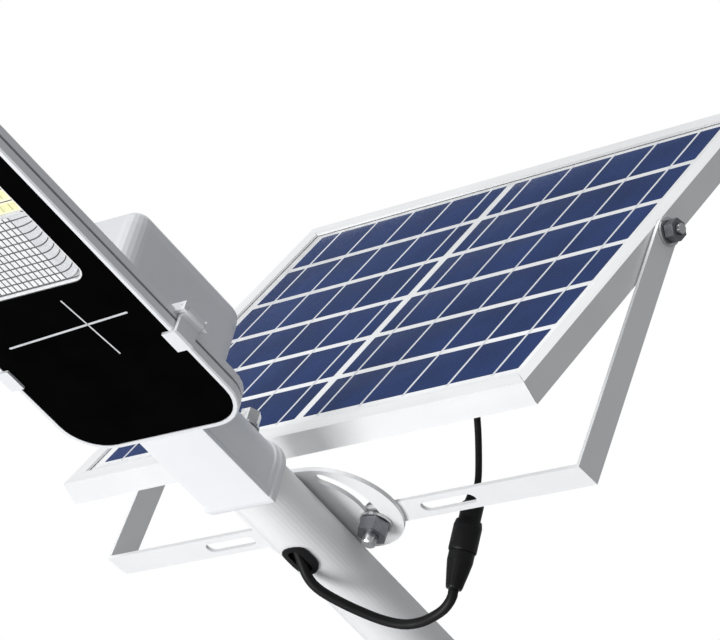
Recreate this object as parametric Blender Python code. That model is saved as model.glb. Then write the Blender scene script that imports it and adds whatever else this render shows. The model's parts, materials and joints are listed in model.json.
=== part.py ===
"""Solar street lamp: a lamp head on a sloping arm, and a solar panel that tilts in a U bracket.

Metres, +Z up. The arm's tube meets the wall at the world origin and rises away from the wall
towards -Y. Every piece is its own closed solid; CLEAR is the gap between pieces that touch.
"""
import math

import bmesh
import bpy
from mathutils import Matrix, Vector

# ---------------------------------------------------------------- driving dimensions
CLEAR = 0.0003

# Arm
ARM_PITCH = math.radians(29.2)
TUBE_R = 0.0175
TUBE_WALL = 0.0018
TUBE_LENGTH = 0.488
FLANGE_HALF_X = 0.045
FLANGE_HALF_Z = 0.072
FLANGE_THICK = 0.005
FLANGE_HOLE_R = 0.0055
FLANGE_HOLE_X = 0.031
FLANGE_HOLE_Z = 0.055
GUSSET_THICK = 0.004
GUSSET_REACH = 0.090
GUSSET_DROP = 0.060
GROMMET_Y = -0.3845
GROMMET_ROLL = math.radians(10.0)
GROMMET_HALF_LENGTH = 0.0117
GROMMET_HALF_WIDTH = 0.0077
GROMMET_LIP = 0.0016
GROMMET_LIP_HIGH = 0.0013
GROMMET_HOLE_HALF_LENGTH = 0.0088
GROMMET_HOLE_R = 0.0035

# Swivel joint between the arm and the U bracket
SWIVEL_X = -0.0041
SWIVEL_Y = -0.380
SWIVEL_REST = math.radians(-6.2)
PLATE_THICK = 0.0025
PLATE_R = 0.035
PLATE_ROUND_X = 0.014
PLATE_LEFT_X = -0.056
PLATE_CORNER_R = 0.006
ARC_SLOT_R = 0.0356
ARC_SLOT_FROM = math.radians(-48.0)
ARC_SLOT_TO = math.radians(38.0)
SWIVEL_BOLT_R = 0.004
BOLT_CLEAR = 0.0005

# U bracket
STRIP_WIDTH = 0.016
STRIP_THICK = 0.002
BAR_SETBACK = 0.0162
TILT_HEIGHT = 0.179
LUG_R = 0.011
LUG_ROOT = 0.016
BAR_SLOT_X = 0.0825
BAR_SLOT_LENGTH = 0.038
BAR_SLOT_WIDTH = 0.0076

# Solar panel
TILT_REST = math.radians(-19.8)
PANEL_HALF_X = 0.175
BRACKET_HALF = PANEL_HALF_X + 0.0028
PANEL_BOTTOM = -0.1523
PANEL_TOP = 0.1277
PANEL_HALF_DEPTH = 0.007
LIP_WIDTH = 0.0105
RAIL_WALL = 0.0016
LEDGE_WIDTH = 0.008
BACK_FLANGE = 0.012
GLASS_THICK = 0.0029
SHEET_THICK = 0.0008
TILT_STUD_R = 0.003

# Junction box on the back of the panel
BOX_X0 = 0.044
BOX_X1 = 0.114
BOX_Z0 = -0.055
BOX_Z1 = 0.005
BOX_DEPTH = 0.015
BOX_WALL = 0.002
GLAND_X = 0.079
GLAND_R = 0.0045
GLAND_CAP_R = 0.0066
GLAND_LENGTH = 0.014
PANEL_LEAD_R = 0.00185
LAMP_LEAD_R = 0.00275

# Lamp head
LAMP_Y = -(TUBE_LENGTH + 0.012)
LAMP_ROLL = math.radians(-5.45)
LAMP_HALF = 0.057
LAMP_LENGTH = 0.330
LAMP_CORNER = 0.025
FACE_Z = -0.0206
RIM_DEPTH = 0.0053
RIM_WIDTH = 0.0029
RIM_LEDGE = 0.007
GLASS_LAMP = 0.0028
GASKET_THICK = 0.0013
HOUSING_BACK_Z = 0.0062
HOUSING_WALL = 0.0022
HOUSING_SIDE_Z = -0.0092
HOUSING_SLOPE_IN = 0.0150
HOUSING_SLOPE_Z = 0.0040
HOUSING_BACK_IN = 0.0170
BOARD_BEHIND = 0.0042
BOARD_THICK = 0.0016
REFLECTOR_DEPTH = 0.0045
REFLECTOR_IN = 0.0095
REFLECTOR_WALL = 0.001
WINDOW_HALF = 0.040
WINDOW_NEAR = -0.118
WINDOW_FAR = -0.318
CASE_HALF = 0.0385
CASE_NEAR = -0.010
CASE_FAR = -0.102
CASE_TOP_Z = 0.0419
CASE_WALL = 0.002
CELL_R = 0.0125
CELL_LENGTH = 0.065
CELL_COUNT = 3

# Neck that clamps the lamp head on the tube
NECK_R = TUBE_R + 0.0033
NECK_BEAD_R = NECK_R + 0.0012
NECK_BEAD = 0.0055
NECK_END = 0.065
NECK_FLOOR_Z = -(TUBE_R + 0.0021)
NECK_CHAMFER_X = 0.016
NECK_CHAMFER_Y = 0.004
SET_BOLT_Y = 0.050
SET_BOLT_R = 0.003
BOSS_R = 0.008
BOSS_TOP_Z = TUBE_R + 0.0049

# Side latches that hold the glass rim
LATCH_Y = -0.066
LATCH_HALF = 0.007
LATCH_X = LAMP_HALF + 0.0032
LATCH_Z = -0.0084
LATCH_BARREL_R = 0.0025
LATCH_PIN_R = 0.00115
PIN_CLEAR = 0.0001
LATCH_SHEET = 0.0015
LATCH_REACH = LAMP_HALF - 0.0068
EAR_THICK = 0.0025

# Cable routes, points in the arm's frame. The loop is drawn for a tube of ROUTE_RADIUS.
ROUTE_RADIUS = 0.0175
LAMP_LEAD_ROUTE = [
    (0.0000, -0.4820, -0.0070), (0.0000, -0.4500, -0.0074), (0.0006, -0.4250, -0.0078),
    (0.0012, -0.4080, -0.0082), (0.0017, -0.3995, -0.0088), (0.0021, -0.3928, -0.0115),
    (0.0029, -0.3845, -0.0166), (0.0040, -0.3762, -0.0221), (0.0072, -0.3692, -0.0252),
    (0.0135, -0.3605, -0.0268), (0.0220, -0.3505, -0.0277), (0.0320, -0.3410, -0.0282),
    (0.0420, -0.3350, -0.0278), (0.0520, -0.3335, -0.0262), (0.0612, -0.3350, -0.0240),
    (0.0684, -0.3370, -0.0212),
]
CONNECTOR_FOOT = (0.0738, -0.3410, -0.0120)
CONNECTOR_TOP = (0.0800, -0.3560, 0.0385)
PANEL_LEAD_ROUTE = [
    (0.0806, -0.3592, 0.0480), (0.0804, -0.3636, 0.0570),
    (0.0800, -0.3695, 0.0680), (0.0796, -0.3772, 0.0800), (0.0790, -0.3842, 0.0920),
]

CUTTER_REACH = 0.05


# Finishes: colour, metallic, roughness
WHITE = (0.86, 0.865, 0.87)
LOOKS = {
    "arm_paint": (WHITE, 0.0, 0.42),
    "lamp_paint": (WHITE, 0.0, 0.40),
    "bracket_paint": (WHITE, 0.0, 0.42),
    "frame_aluminium": ((0.80, 0.81, 0.82), 0.9, 0.42),
    "fastener_steel": ((0.62, 0.62, 0.62), 1.0, 0.32),
    "dark_steel": ((0.16, 0.16, 0.17), 0.9, 0.40),
    "black_rubber": ((0.018, 0.018, 0.018), 0.0, 0.62),
    "black_plastic": ((0.025, 0.025, 0.026), 0.0, 0.45),
    "lamp_glass": ((0.012, 0.012, 0.013), 0.0, 0.08),
    "panel_glass": ((0.02, 0.05, 0.16), 0.0, 0.10),
    "cell_sheet": ((0.80, 0.81, 0.83), 0.0, 0.50),
    "reflector_chrome": ((0.90, 0.90, 0.90), 1.0, 0.12),
    "board_green": ((0.10, 0.28, 0.14), 0.0, 0.55),
    "cell_wrap": ((0.10, 0.22, 0.50), 0.0, 0.35),
}


# ---------------------------------------------------------------- helpers
def clear_scene():
    for obj in list(bpy.data.objects):
        bpy.data.objects.remove(obj, do_unlink=True)


def material(name, look):
    """A Principled material for one piece, from the named finish."""
    colour, metallic, roughness = LOOKS[look]
    mat = bpy.data.materials.new(name)
    mat.use_nodes = True
    shader = mat.node_tree.nodes["Principled BSDF"]
    shader.inputs["Base Color"].default_value = (*colour, 1.0)
    shader.inputs["Metallic"].default_value = metallic
    shader.inputs["Roughness"].default_value = roughness
    mat.diffuse_color = (*colour, 1.0)
    return mat


def empty(name, location, rotation, parent=None):
    frame = bpy.data.objects.new(name, None)
    frame.empty_display_size = 0.03
    bpy.context.scene.collection.objects.link(frame)
    frame.location = location
    frame.rotation_euler = rotation
    frame.parent = parent
    return frame


def solid(name, bm):
    """An object from a bmesh, with its normals outwards."""
    bmesh.ops.recalc_face_normals(bm, faces=bm.faces)
    mesh = bpy.data.meshes.new(name)
    bm.to_mesh(mesh)
    bm.free()
    obj = bpy.data.objects.new(name, mesh)
    bpy.context.scene.collection.objects.link(obj)
    return obj


def lofted(name, loops, closed=False):
    """Join rings of points with the same count; closed joins the last to the first."""
    bm = bmesh.new()
    rings = []
    for loop in loops:
        rings.append([bm.verts.new(point) for point in loop])
    pairs = list(zip(rings, rings[1:]))
    if closed:
        pairs.append((rings[-1], rings[0]))
    for ring_a, ring_b in pairs:
        count = len(ring_a)
        for i in range(count):
            j = (i + 1) % count
            bm.faces.new((ring_a[i], ring_a[j], ring_b[j], ring_b[i]))
    if not closed:
        bm.faces.new(rings[0])
        bm.faces.new(rings[-1])
    return solid(name, bm)


def prism(name, outline, low, high):
    """A plate: an XY outline between two heights."""
    return lofted(name, [[(x, y, low) for x, y in outline], [(x, y, high) for x, y in outline]])


def box(name, low, high):
    outline = [(low[0], low[1]), (high[0], low[1]), (high[0], high[1]), (low[0], high[1])]
    return prism(name, outline, low[2], high[2])


def arc(centre, radius, start, stop, steps):
    points = []
    for i in range(steps + 1):
        angle = start + (stop - start) * i / steps
        points.append((centre[0] + radius * math.cos(angle), centre[1] + radius * math.sin(angle)))
    return points


def rounded_rect(x0, x1, y0, y1, radius, steps=5):
    quarter = math.pi / 2
    points = arc((x1 - radius, y1 - radius), radius, 0.0, quarter, steps)
    points += arc((x0 + radius, y1 - radius), radius, quarter, 2 * quarter, steps)
    points += arc((x0 + radius, y0 + radius), radius, 2 * quarter, 3 * quarter, steps)
    points += arc((x1 - radius, y0 + radius), radius, 3 * quarter, 4 * quarter, steps)
    return points


def slot_outline(centre, half_length, radius, along_y=False, steps=8):
    """A slot with round ends, half_length to the tip of each end."""
    reach = half_length - radius
    quarter = math.pi / 2
    if along_y:
        points = arc((centre[0], centre[1] + reach), radius, 0.0, 2 * quarter, steps)
        points += arc((centre[0], centre[1] - reach), radius, 2 * quarter, 4 * quarter, steps)
    else:
        points = arc((centre[0] + reach, centre[1]), radius, -quarter, quarter, steps)
        points += arc((centre[0] - reach, centre[1]), radius, quarter, 3 * quarter, steps)
    return points


def circle(radius, height, steps):
    return [(*point, height) for point in arc((0.0, 0.0), radius, 0.0, 2 * math.pi, steps)[:-1]]


def rod(name, radius, low, high, steps=24):
    return lofted(name, [circle(radius, low, steps), circle(radius, high, steps)])


def turned(name, profile, steps=28, ring=False):
    """A lathe piece about Z from (radius, height) points; ring closes the profile on itself."""
    return lofted(name, [circle(radius, height, steps) for radius, height in profile], closed=ring)


def hexagon(across_flats, height):
    radius = across_flats / math.sqrt(3.0)
    return circle(radius, height, 6)


def combine(target, tool, operation):
    """Apply an exact Boolean and remove the tool."""
    tool.hide_render = True
    tool.display_type = 'WIRE'
    modifier = target.modifiers.new(operation.lower(), 'BOOLEAN')
    modifier.operation = operation
    modifier.solver = 'EXACT'
    modifier.object = tool
    bpy.context.view_layer.update()
    depsgraph = bpy.context.evaluated_depsgraph_get()
    result = bpy.data.meshes.new_from_object(target.evaluated_get(depsgraph))
    target.modifiers.clear()
    before = target.data
    target.data = result
    bpy.data.meshes.remove(before)
    bpy.data.objects.remove(tool, do_unlink=True)
    return target


def cut(target, *tools):
    for tool in tools:
        combine(target, tool, 'DIFFERENCE')
    return target


def join(target, *tools):
    for tool in tools:
        combine(target, tool, 'UNION')
    return target


def moved(obj, matrix):
    obj.data.transform(matrix)
    if matrix.determinant() < 0:
        obj.data.flip_normals()
    return obj


def shifted(obj, x=0.0, y=0.0, z=0.0):
    return moved(obj, Matrix.Translation((x, y, z)))


def along_x(obj, side=1.0):
    """Turn a piece made along Z so that it points along X, towards the given side."""
    return moved(obj, Matrix.Rotation(side * math.pi / 2, 4, 'Y'))


def finish(obj, look, frame=None, smooth=None):
    """Name, material, shading and parent of a finished piece."""
    obj.data.name = obj.name
    obj.data.materials.clear()
    obj.data.materials.append(material(obj.name + "_finish", look))
    if smooth is not None:
        for polygon in obj.data.polygons:
            polygon.use_smooth = True
        obj.data.set_sharp_from_angle(angle=math.radians(smooth))
    obj.parent = frame
    return obj


def bolt_ring(name, outer, inner, low, high, steps=24):
    """A washer."""
    profile = [(inner, low), (outer, low), (outer, high), (inner, high)]
    return turned(name, profile, steps, ring=True)


def hex_nut(name, across_flats, bore, low, high):
    nut = lofted(name, [hexagon(across_flats, low), hexagon(across_flats, high)])
    return cut(nut, rod("nut_bore", bore, low - CUTTER_REACH, high + CUTTER_REACH))


def smooth_route(points, spacing):
    """Even points along a Catmull-Rom curve through the chosen ones."""
    knots = [Vector(point) for point in points]
    knots.insert(0, 2 * knots[0] - knots[1])
    knots.append(2 * knots[-1] - knots[-2])
    fine = []
    for a, b, c, d in zip(knots, knots[1:], knots[2:], knots[3:]):
        for i in range(20):
            t = i / 20.0
            fine.append(0.5 * (2 * b + (c - a) * t + (2 * a - 5 * b + 4 * c - d) * t * t
                               + (3 * b - a - 3 * c + d) * t * t * t))
    fine.append(knots[-2])
    lengths = [0.0]
    for a, b in zip(fine, fine[1:]):
        lengths.append(lengths[-1] + (b - a).length)
    count = max(2, round(lengths[-1] / spacing))
    even = []
    index = 0
    for i in range(count + 1):
        target = lengths[-1] * i / count
        while index < len(fine) - 2 and lengths[index + 1] < target:
            index += 1
        share = (target - lengths[index]) / (lengths[index + 1] - lengths[index])
        even.append(fine[index].lerp(fine[index + 1], min(1.0, share)))
    return even


def cable(name, points, radius, resolution):
    """A plain tube solid along a route."""
    curve = bpy.data.curves.new(name, 'CURVE')
    curve.dimensions = '3D'
    curve.bevel_depth = radius
    curve.bevel_resolution = resolution
    curve.use_fill_caps = True
    spline = curve.splines.new('POLY')
    spline.points.add(len(points) - 1)
    for knot, point in zip(spline.points, points):
        knot.co = (*point, 1.0)
    obj = bpy.data.objects.new(name, curve)
    bpy.context.scene.collection.objects.link(obj)
    return obj


# ---------------------------------------------------------------- arm
def build_arm(arm):
    plate_low = TUBE_R + CLEAR
    flange = prism("wall_flange", rounded_rect(-FLANGE_HALF_X, FLANGE_HALF_X, -FLANGE_HALF_Z,
                                               FLANGE_HALF_Z, 0.008), 0.0, FLANGE_THICK)
    for x in (-FLANGE_HOLE_X, FLANGE_HOLE_X):
        for z in (-FLANGE_HOLE_Z, FLANGE_HOLE_Z):
            hole = rod("flange_hole", FLANGE_HOLE_R, -CUTTER_REACH, CUTTER_REACH)
            cut(flange, shifted(hole, x, z))
    moved(flange, Matrix.Rotation(math.pi / 2, 4, 'X'))
    finish(flange, "arm_paint", None)

    # The tube runs past the wall and is cut off parallel to the flange.
    inner = TUBE_R - TUBE_WALL
    tube = turned("arm_tube", [(inner, -0.03), (TUBE_R, -0.03), (TUBE_R, TUBE_LENGTH),
                               (inner, TUBE_LENGTH)], 48, ring=True)
    moved(tube, Matrix.Rotation(math.pi / 2, 4, 'X'))
    wall_side = box("wall_side", (-0.1, -FLANGE_THICK - CLEAR, -0.1), (0.1, 0.1, 0.1))
    moved(wall_side, Matrix.Rotation(ARM_PITCH, 4, 'X'))
    cut(tube, wall_side)
    hole = prism("cable_hole", slot_outline((0.0, GROMMET_Y),
                                            GROMMET_HALF_LENGTH - GROMMET_LIP,
                                            GROMMET_HALF_WIDTH - GROMMET_LIP, along_y=True),
                 -CUTTER_REACH, 0.0)
    cut(tube, moved(hole, Matrix.Rotation(-GROMMET_ROLL, 4, 'Y')))
    finish(tube, "arm_paint", arm, 30)

    gusset_low = -(TUBE_R + CLEAR)
    slope = Matrix.Rotation(-ARM_PITCH, 3, 'X')
    far = slope @ Vector((0.0, -GUSSET_REACH, gusset_low))
    wall_y = -FLANGE_THICK - CLEAR
    near_z = far.z - (wall_y - far.y) * math.tan(ARM_PITCH)
    outline = [(wall_y, near_z), (far.y, far.z), (far.y + 0.006, far.z - 0.010),
               (wall_y, near_z - GUSSET_DROP)]
    gusset = prism("arm_gusset", outline, -GUSSET_THICK / 2, GUSSET_THICK / 2)
    moved(gusset, Matrix(((0, 0, 1, 0), (1, 0, 0, 0), (0, 1, 0, 0), (0, 0, 0, 1))))
    finish(gusset, "arm_paint", None)

    # The grommet is two slot-shaped lips on the curved wall, joined through the tube's hole.
    def shell(name, half_length, half_width, inside, outside, facets):
        bead = turned(name, [(inside, 0.02), (outside, 0.02), (outside, -0.02), (inside, -0.02)],
                      facets, ring=True)
        moved(bead, Matrix.Rotation(math.pi / facets, 4, 'Z'))
        moved(bead, Matrix.Rotation(math.pi / 2, 4, 'X'))
        shifted(bead, y=GROMMET_Y)
        core = prism("lip_core", slot_outline((0.0, GROMMET_Y), half_length, half_width,
                                              along_y=True), -CUTTER_REACH, 0.0)
        return combine(bead, core, 'INTERSECT')

    lip = shell("cable_grommet", GROMMET_HALF_LENGTH, GROMMET_HALF_WIDTH,
                TUBE_R + CLEAR, TUBE_R + GROMMET_LIP_HIGH, 48)
    neck_half_length = GROMMET_HALF_LENGTH - GROMMET_LIP - CLEAR
    neck_half_width = GROMMET_HALF_WIDTH - GROMMET_LIP - CLEAR
    collar = shell("grommet_collar", neck_half_length, neck_half_width,
                   inner - GROMMET_LIP_HIGH / 2, TUBE_R + GROMMET_LIP_HIGH / 2, 44)
    join(lip, collar)
    cut(lip, prism("lead_hole", slot_outline((0.0, GROMMET_Y), GROMMET_HOLE_HALF_LENGTH,
                                             GROMMET_HOLE_R, along_y=True), -CUTTER_REACH, 0.0))
    moved(lip, Matrix.Rotation(-GROMMET_ROLL, 4, 'Y'))
    finish(lip, "black_rubber", arm, 30)

    # The plate the bracket swivels on, with an arc slot about the swivel stud.
    quarter = math.pi / 2
    outline = arc((PLATE_ROUND_X, SWIVEL_Y), PLATE_R, -quarter, quarter, 24)
    outline += arc((PLATE_LEFT_X + PLATE_CORNER_R, SWIVEL_Y + PLATE_R - PLATE_CORNER_R),
                   PLATE_CORNER_R, quarter, 2 * quarter, 5)
    outline += arc((PLATE_LEFT_X + PLATE_CORNER_R, SWIVEL_Y - PLATE_R + PLATE_CORNER_R),
                   PLATE_CORNER_R, 2 * quarter, 3 * quarter, 5)
    plate = prism("adjust_plate", outline, plate_low, plate_low + PLATE_THICK)
    slot_r = SWIVEL_BOLT_R + BOLT_CLEAR
    centre = (SWIVEL_X, SWIVEL_Y)
    start = arc(centre, ARC_SLOT_R, ARC_SLOT_FROM, ARC_SLOT_FROM, 1)[0]
    stop = arc(centre, ARC_SLOT_R, ARC_SLOT_TO, ARC_SLOT_TO, 1)[0]
    outline = arc(centre, ARC_SLOT_R + slot_r, ARC_SLOT_FROM, ARC_SLOT_TO, 20)
    outline += arc(stop, slot_r, ARC_SLOT_TO, ARC_SLOT_TO + math.pi, 8)[1:-1]
    outline += arc(centre, ARC_SLOT_R - slot_r, ARC_SLOT_TO, ARC_SLOT_FROM, 20)
    outline += arc(start, slot_r, ARC_SLOT_FROM - math.pi, ARC_SLOT_FROM, 8)[1:-1]
    cut(plate, prism("arc_slot", outline, -CUTTER_REACH, CUTTER_REACH))
    cut(plate, shifted(rod("stud_hole", SWIVEL_BOLT_R + CLEAR, -CUTTER_REACH, CUTTER_REACH),
                       SWIVEL_X, SWIVEL_Y))
    finish(plate, "arm_paint", arm, 30)

    bar_top = plate_low + PLATE_THICK + CLEAR + STRIP_THICK
    washer_low = bar_top + CLEAR
    nut_low = washer_low + 0.001 + CLEAR
    stud = rod("swivel_stud", SWIVEL_BOLT_R, plate_low, nut_low + 0.0034)
    finish(shifted(stud, SWIVEL_X, SWIVEL_Y), "fastener_steel", arm, 30)
    washer = bolt_ring("swivel_washer", 0.008, SWIVEL_BOLT_R + CLEAR, washer_low,
                       washer_low + 0.001)
    finish(shifted(washer, SWIVEL_X, SWIVEL_Y), "fastener_steel", arm, 30)
    nut = hex_nut("swivel_nut", 0.013, SWIVEL_BOLT_R + CLEAR, nut_low, nut_low + 0.003)
    finish(shifted(nut, SWIVEL_X, SWIVEL_Y), "fastener_steel", arm)
    return plate_low


# ---------------------------------------------------------------- lamp head
def lamp_outline(inset, height):
    radius = LAMP_CORNER - inset
    outline = rounded_rect(-LAMP_HALF + inset, LAMP_HALF - inset,
                           -LAMP_LENGTH + inset, -inset, radius, 8)
    return [(x, y, height) for x, y in outline]


def case_outline(inset, height):
    outline = rounded_rect(-CASE_HALF + inset, CASE_HALF - inset, CASE_FAR + inset,
                           CASE_NEAR - inset, 0.010 - min(inset, 0.0045), 6)
    return [(x, y, height) for x, y in outline]


def neck_section(outer, y, upper):
    """Half of the neck's cross-section: a round top shell or a flat-bottomed trough."""
    bore = TUBE_R + CLEAR
    if upper:
        points = arc((0.0, 0.0), outer, 0.0, math.pi, 16)
        points = [(x, max(z, CLEAR / 2)) for x, z in points]
        inner = arc((0.0, 0.0), bore, math.pi, 0.0, 16)
        points += [(x, max(z, CLEAR / 2)) for x, z in inner]
    else:
        points = [(outer, -CLEAR / 2), (outer, NECK_FLOOR_Z), (-outer, NECK_FLOOR_Z),
                  (-outer, -CLEAR / 2)]
        inner = arc((0.0, 0.0), bore, -math.pi, 0.0, 16)
        points += [(x, min(z, -CLEAR / 2)) for x, z in inner]
    return [(x, y, z) for x, z in points]


def build_lamp(lamp):
    rim_back = FACE_Z + RIM_DEPTH
    edge = 0.0008
    profile = [(0.0, rim_back), (0.0, FACE_Z + edge), (edge, FACE_Z), (RIM_WIDTH, FACE_Z),
               (RIM_WIDTH, FACE_Z + GLASS_LAMP + CLEAR), (RIM_LEDGE, FACE_Z + GLASS_LAMP + CLEAR),
               (RIM_LEDGE, rim_back)]
    rim = lofted("front_bezel", [lamp_outline(*point) for point in profile], closed=True)
    finish(rim, "lamp_paint", lamp, 30)

    seat = RIM_WIDTH + CLEAR
    front = lofted("front_glass", [lamp_outline(seat, FACE_Z), lamp_outline(seat, FACE_Z + GLASS_LAMP)])
    finish(front, "lamp_glass", lamp)

    gasket_low = rim_back + CLEAR
    gasket_high = gasket_low + GASKET_THICK
    profile = [(0.0015, gasket_low), (0.0065, gasket_low), (0.0065, gasket_high),
               (0.0015, gasket_high)]
    gasket = lofted("glass_gasket", [lamp_outline(*point) for point in profile], closed=True)
    finish(gasket, "black_rubber", lamp, 30)

    base = gasket_high + CLEAR
    back = HOUSING_BACK_Z
    wall_in = 0.0005
    cavity_in = 0.0062
    profile = [(HOUSING_BACK_IN + 0.0020, back - HOUSING_WALL),
               (HOUSING_SLOPE_IN + 0.0020, HOUSING_SLOPE_Z - HOUSING_WALL),
               (cavity_in, HOUSING_SIDE_Z - 0.0012), (cavity_in, base), (wall_in, base),
               (wall_in, HOUSING_SIDE_Z), (HOUSING_SLOPE_IN, HOUSING_SLOPE_Z),
               (HOUSING_BACK_IN, back)]
    housing = lofted("lamp_housing", [lamp_outline(*point) for point in profile])
    for side in (-1, 1):
        for y in (LATCH_Y - LATCH_HALF - CLEAR - EAR_THICK, LATCH_Y + LATCH_HALF + CLEAR):
            x0, x1 = sorted((side * (LAMP_HALF - 0.004), side * (LATCH_X + LATCH_BARREL_R)))
            ear = box("latch_ear", (x0, y, LATCH_Z - 0.0025), (x1, y + EAR_THICK, LATCH_Z + 0.0025))
            join(housing, ear)
        bore = rod("pin_hole", LATCH_PIN_R + PIN_CLEAR, LATCH_HALF - CUTTER_REACH,
                   CUTTER_REACH - LATCH_HALF, 16)
        moved(bore, Matrix.Rotation(math.pi / 2, 4, 'X'))
        cut(housing, shifted(bore, side * LATCH_X, LATCH_Y, LATCH_Z))
    finish(housing, "lamp_paint", lamp, 30)

    wall = REFLECTOR_WALL
    mouth = FACE_Z + GLASS_LAMP + CLEAR
    knee = mouth + REFLECTOR_DEPTH * 0.45
    dish = mouth + REFLECTOR_DEPTH
    slope = [(0.0, mouth), (0.0015, knee), (REFLECTOR_IN, dish), (REFLECTOR_IN + wall, dish),
             (0.0015 + wall * 1.4, knee), (wall, mouth)]
    loops = []
    for inset, height in slope:
        radius = 0.010 - 0.4 * min(inset, 0.01)
        ends = 3.2 * inset
        outline = rounded_rect(-WINDOW_HALF + inset, WINDOW_HALF - inset, WINDOW_FAR + ends,
                               WINDOW_NEAR - ends, radius, 6)
        loops.append([(x, y, height) for x, y in outline])
    finish(lofted("reflector", loops, closed=True), "reflector_chrome", lamp, 30)

    board_half = WINDOW_HALF - 0.008
    board_end = 0.022
    plate = box("led_board", (-board_half, WINDOW_FAR + board_end, dish + CLEAR),
                (board_half, WINDOW_NEAR - board_end, dish + CLEAR + BOARD_THICK))
    finish(plate, "board_green", lamp)
    floor = back - HOUSING_WALL - BOARD_BEHIND
    plate = box("driver_board", (-0.0340, -0.0980, floor + CLEAR),
                (0.0340, -0.0240, floor + CLEAR + BOARD_THICK))
    finish(plate, "board_green", lamp)
    coil = rod("driver_coil", 0.0065, floor - 0.0080, floor)
    finish(shifted(coil, -0.018, -0.045), "black_rubber", lamp, 30)
    sink = box("driver_chip", (0.008, -0.070, floor - 0.0030), (0.022, -0.056, floor))
    finish(sink, "black_rubber", lamp)

    low = back + CLEAR
    top = CASE_TOP_Z
    profile = [(0.0060, top - CASE_WALL), (0.0030, top - CASE_WALL - 0.0015), (CASE_WALL, 0.0340),
               (CASE_WALL, low), (0.0, low), (0.0004, 0.0330), (0.0012, top - 0.0040),
               (0.0033, top - 0.0012), (0.0065, top)]
    case = lofted("battery_case", [case_outline(*point) for point in profile])
    finish(case, "lamp_paint", lamp, 40)
    pitch = 2 * CELL_R + 2 * CLEAR
    middle = (CASE_NEAR + CASE_FAR) / 2
    for i in range(CELL_COUNT):
        tip = 0.0012
        half = CELL_LENGTH / 2
        profile = [(CELL_R - 0.0006, -half), (CELL_R, -half + 0.0006), (CELL_R, half - tip - 0.0006),
                   (CELL_R - 0.0006, half - tip), (0.0042, half - tip), (0.0042, half)]
        cell = turned("battery_cell_%d" % (i + 1), profile, 24)
        along_x(cell)
        shifted(cell, y=middle + (i - (CELL_COUNT - 1) / 2) * pitch, z=low + CELL_R + CLEAR)
        finish(cell, "cell_wrap", lamp, 30)

    # Neck: the trough and the cover clamp the tube between them.
    bead_start = NECK_END - NECK_BEAD
    stations = [(NECK_R, CLEAR), (NECK_R, bead_start - 0.001), (NECK_BEAD_R, bead_start),
                (NECK_BEAD_R, NECK_END - 0.001), (NECK_BEAD_R - 0.001, NECK_END)]
    trough = lofted("neck_trough", [neck_section(*station, False) for station in stations])
    reach = NECK_BEAD_R + CLEAR
    corner = [(-reach, NECK_END - NECK_CHAMFER_Y), (-reach + NECK_CHAMFER_X, NECK_END + CLEAR),
              (-reach, NECK_END + CLEAR)]
    cut(trough, prism("trough_corner", corner, NECK_FLOOR_Z - CLEAR, -CLEAR))
    finish(trough, "lamp_paint", lamp, 30)
    cover = lofted("neck_cover", [neck_section(*station, True) for station in stations])
    boss = rod("boss", BOSS_R, TUBE_R + 0.002, BOSS_TOP_Z, 28)
    join(cover, shifted(boss, y=SET_BOLT_Y))
    hole = rod("set_bolt_hole", SET_BOLT_R + CLEAR, 0.0, CUTTER_REACH)
    cut(cover, shifted(hole, y=SET_BOLT_Y))
    finish(cover, "lamp_paint", lamp, 30)
    head_low = BOSS_TOP_Z + CLEAR
    bolt = rod("set_bolt", SET_BOLT_R, TUBE_R + CLEAR, head_low + 0.001)
    join(bolt, rod("bolt_flange", 0.0065, head_low, head_low + 0.0012))
    join(bolt, lofted("bolt_head", [hexagon(0.010, head_low + 0.0006),
                                    hexagon(0.010, head_low + 0.0095)]))
    finish(shifted(bolt, y=SET_BOLT_Y), "fastener_steel", lamp, 30)

    for side, name in ((-1, "left"), (1, "right")):
        pin = rod("latch_pin_" + name, LATCH_PIN_R, -LATCH_HALF - CLEAR - EAR_THICK,
                  LATCH_HALF + CLEAR + EAR_THICK, 16)
        moved(pin, Matrix.Rotation(math.pi / 2, 4, 'X'))
        finish(shifted(pin, side * LATCH_X, LATCH_Y, LATCH_Z), "fastener_steel", lamp, 30)


def build_latch(name, frame, side):
    """A hinged clip about the frame's Y axis; its hook holds the front rim."""
    hook_top = FACE_Z - CLEAR - LATCH_Z
    hook_low = hook_top - LATCH_SHEET
    hook_x = LATCH_REACH - LATCH_X
    inside = LAMP_HALF + 0.0005 - LATCH_X
    outside = inside + LATCH_SHEET + 0.0004
    barrel = arc((0.0, 0.0), LATCH_BARREL_R, math.radians(200), math.radians(-75), 16)
    outline = [(hook_x, hook_low), (hook_x, hook_top), (inside, hook_top), (inside, -0.0025)]
    outline += barrel + [(outside, -0.0042), (outside, hook_low + 0.001), (outside - 0.001, hook_low)]
    clip = prism(name, outline, -LATCH_HALF, LATCH_HALF)
    cut(clip, rod("barrel_bore", LATCH_PIN_R + PIN_CLEAR, -CUTTER_REACH, CUTTER_REACH, 16))
    moved(clip, Matrix(((side, 0, 0, 0), (0, 0, -1, 0), (0, 1, 0, 0), (0, 0, 0, 1))))
    finish(clip, "lamp_paint", frame, 30)


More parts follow.
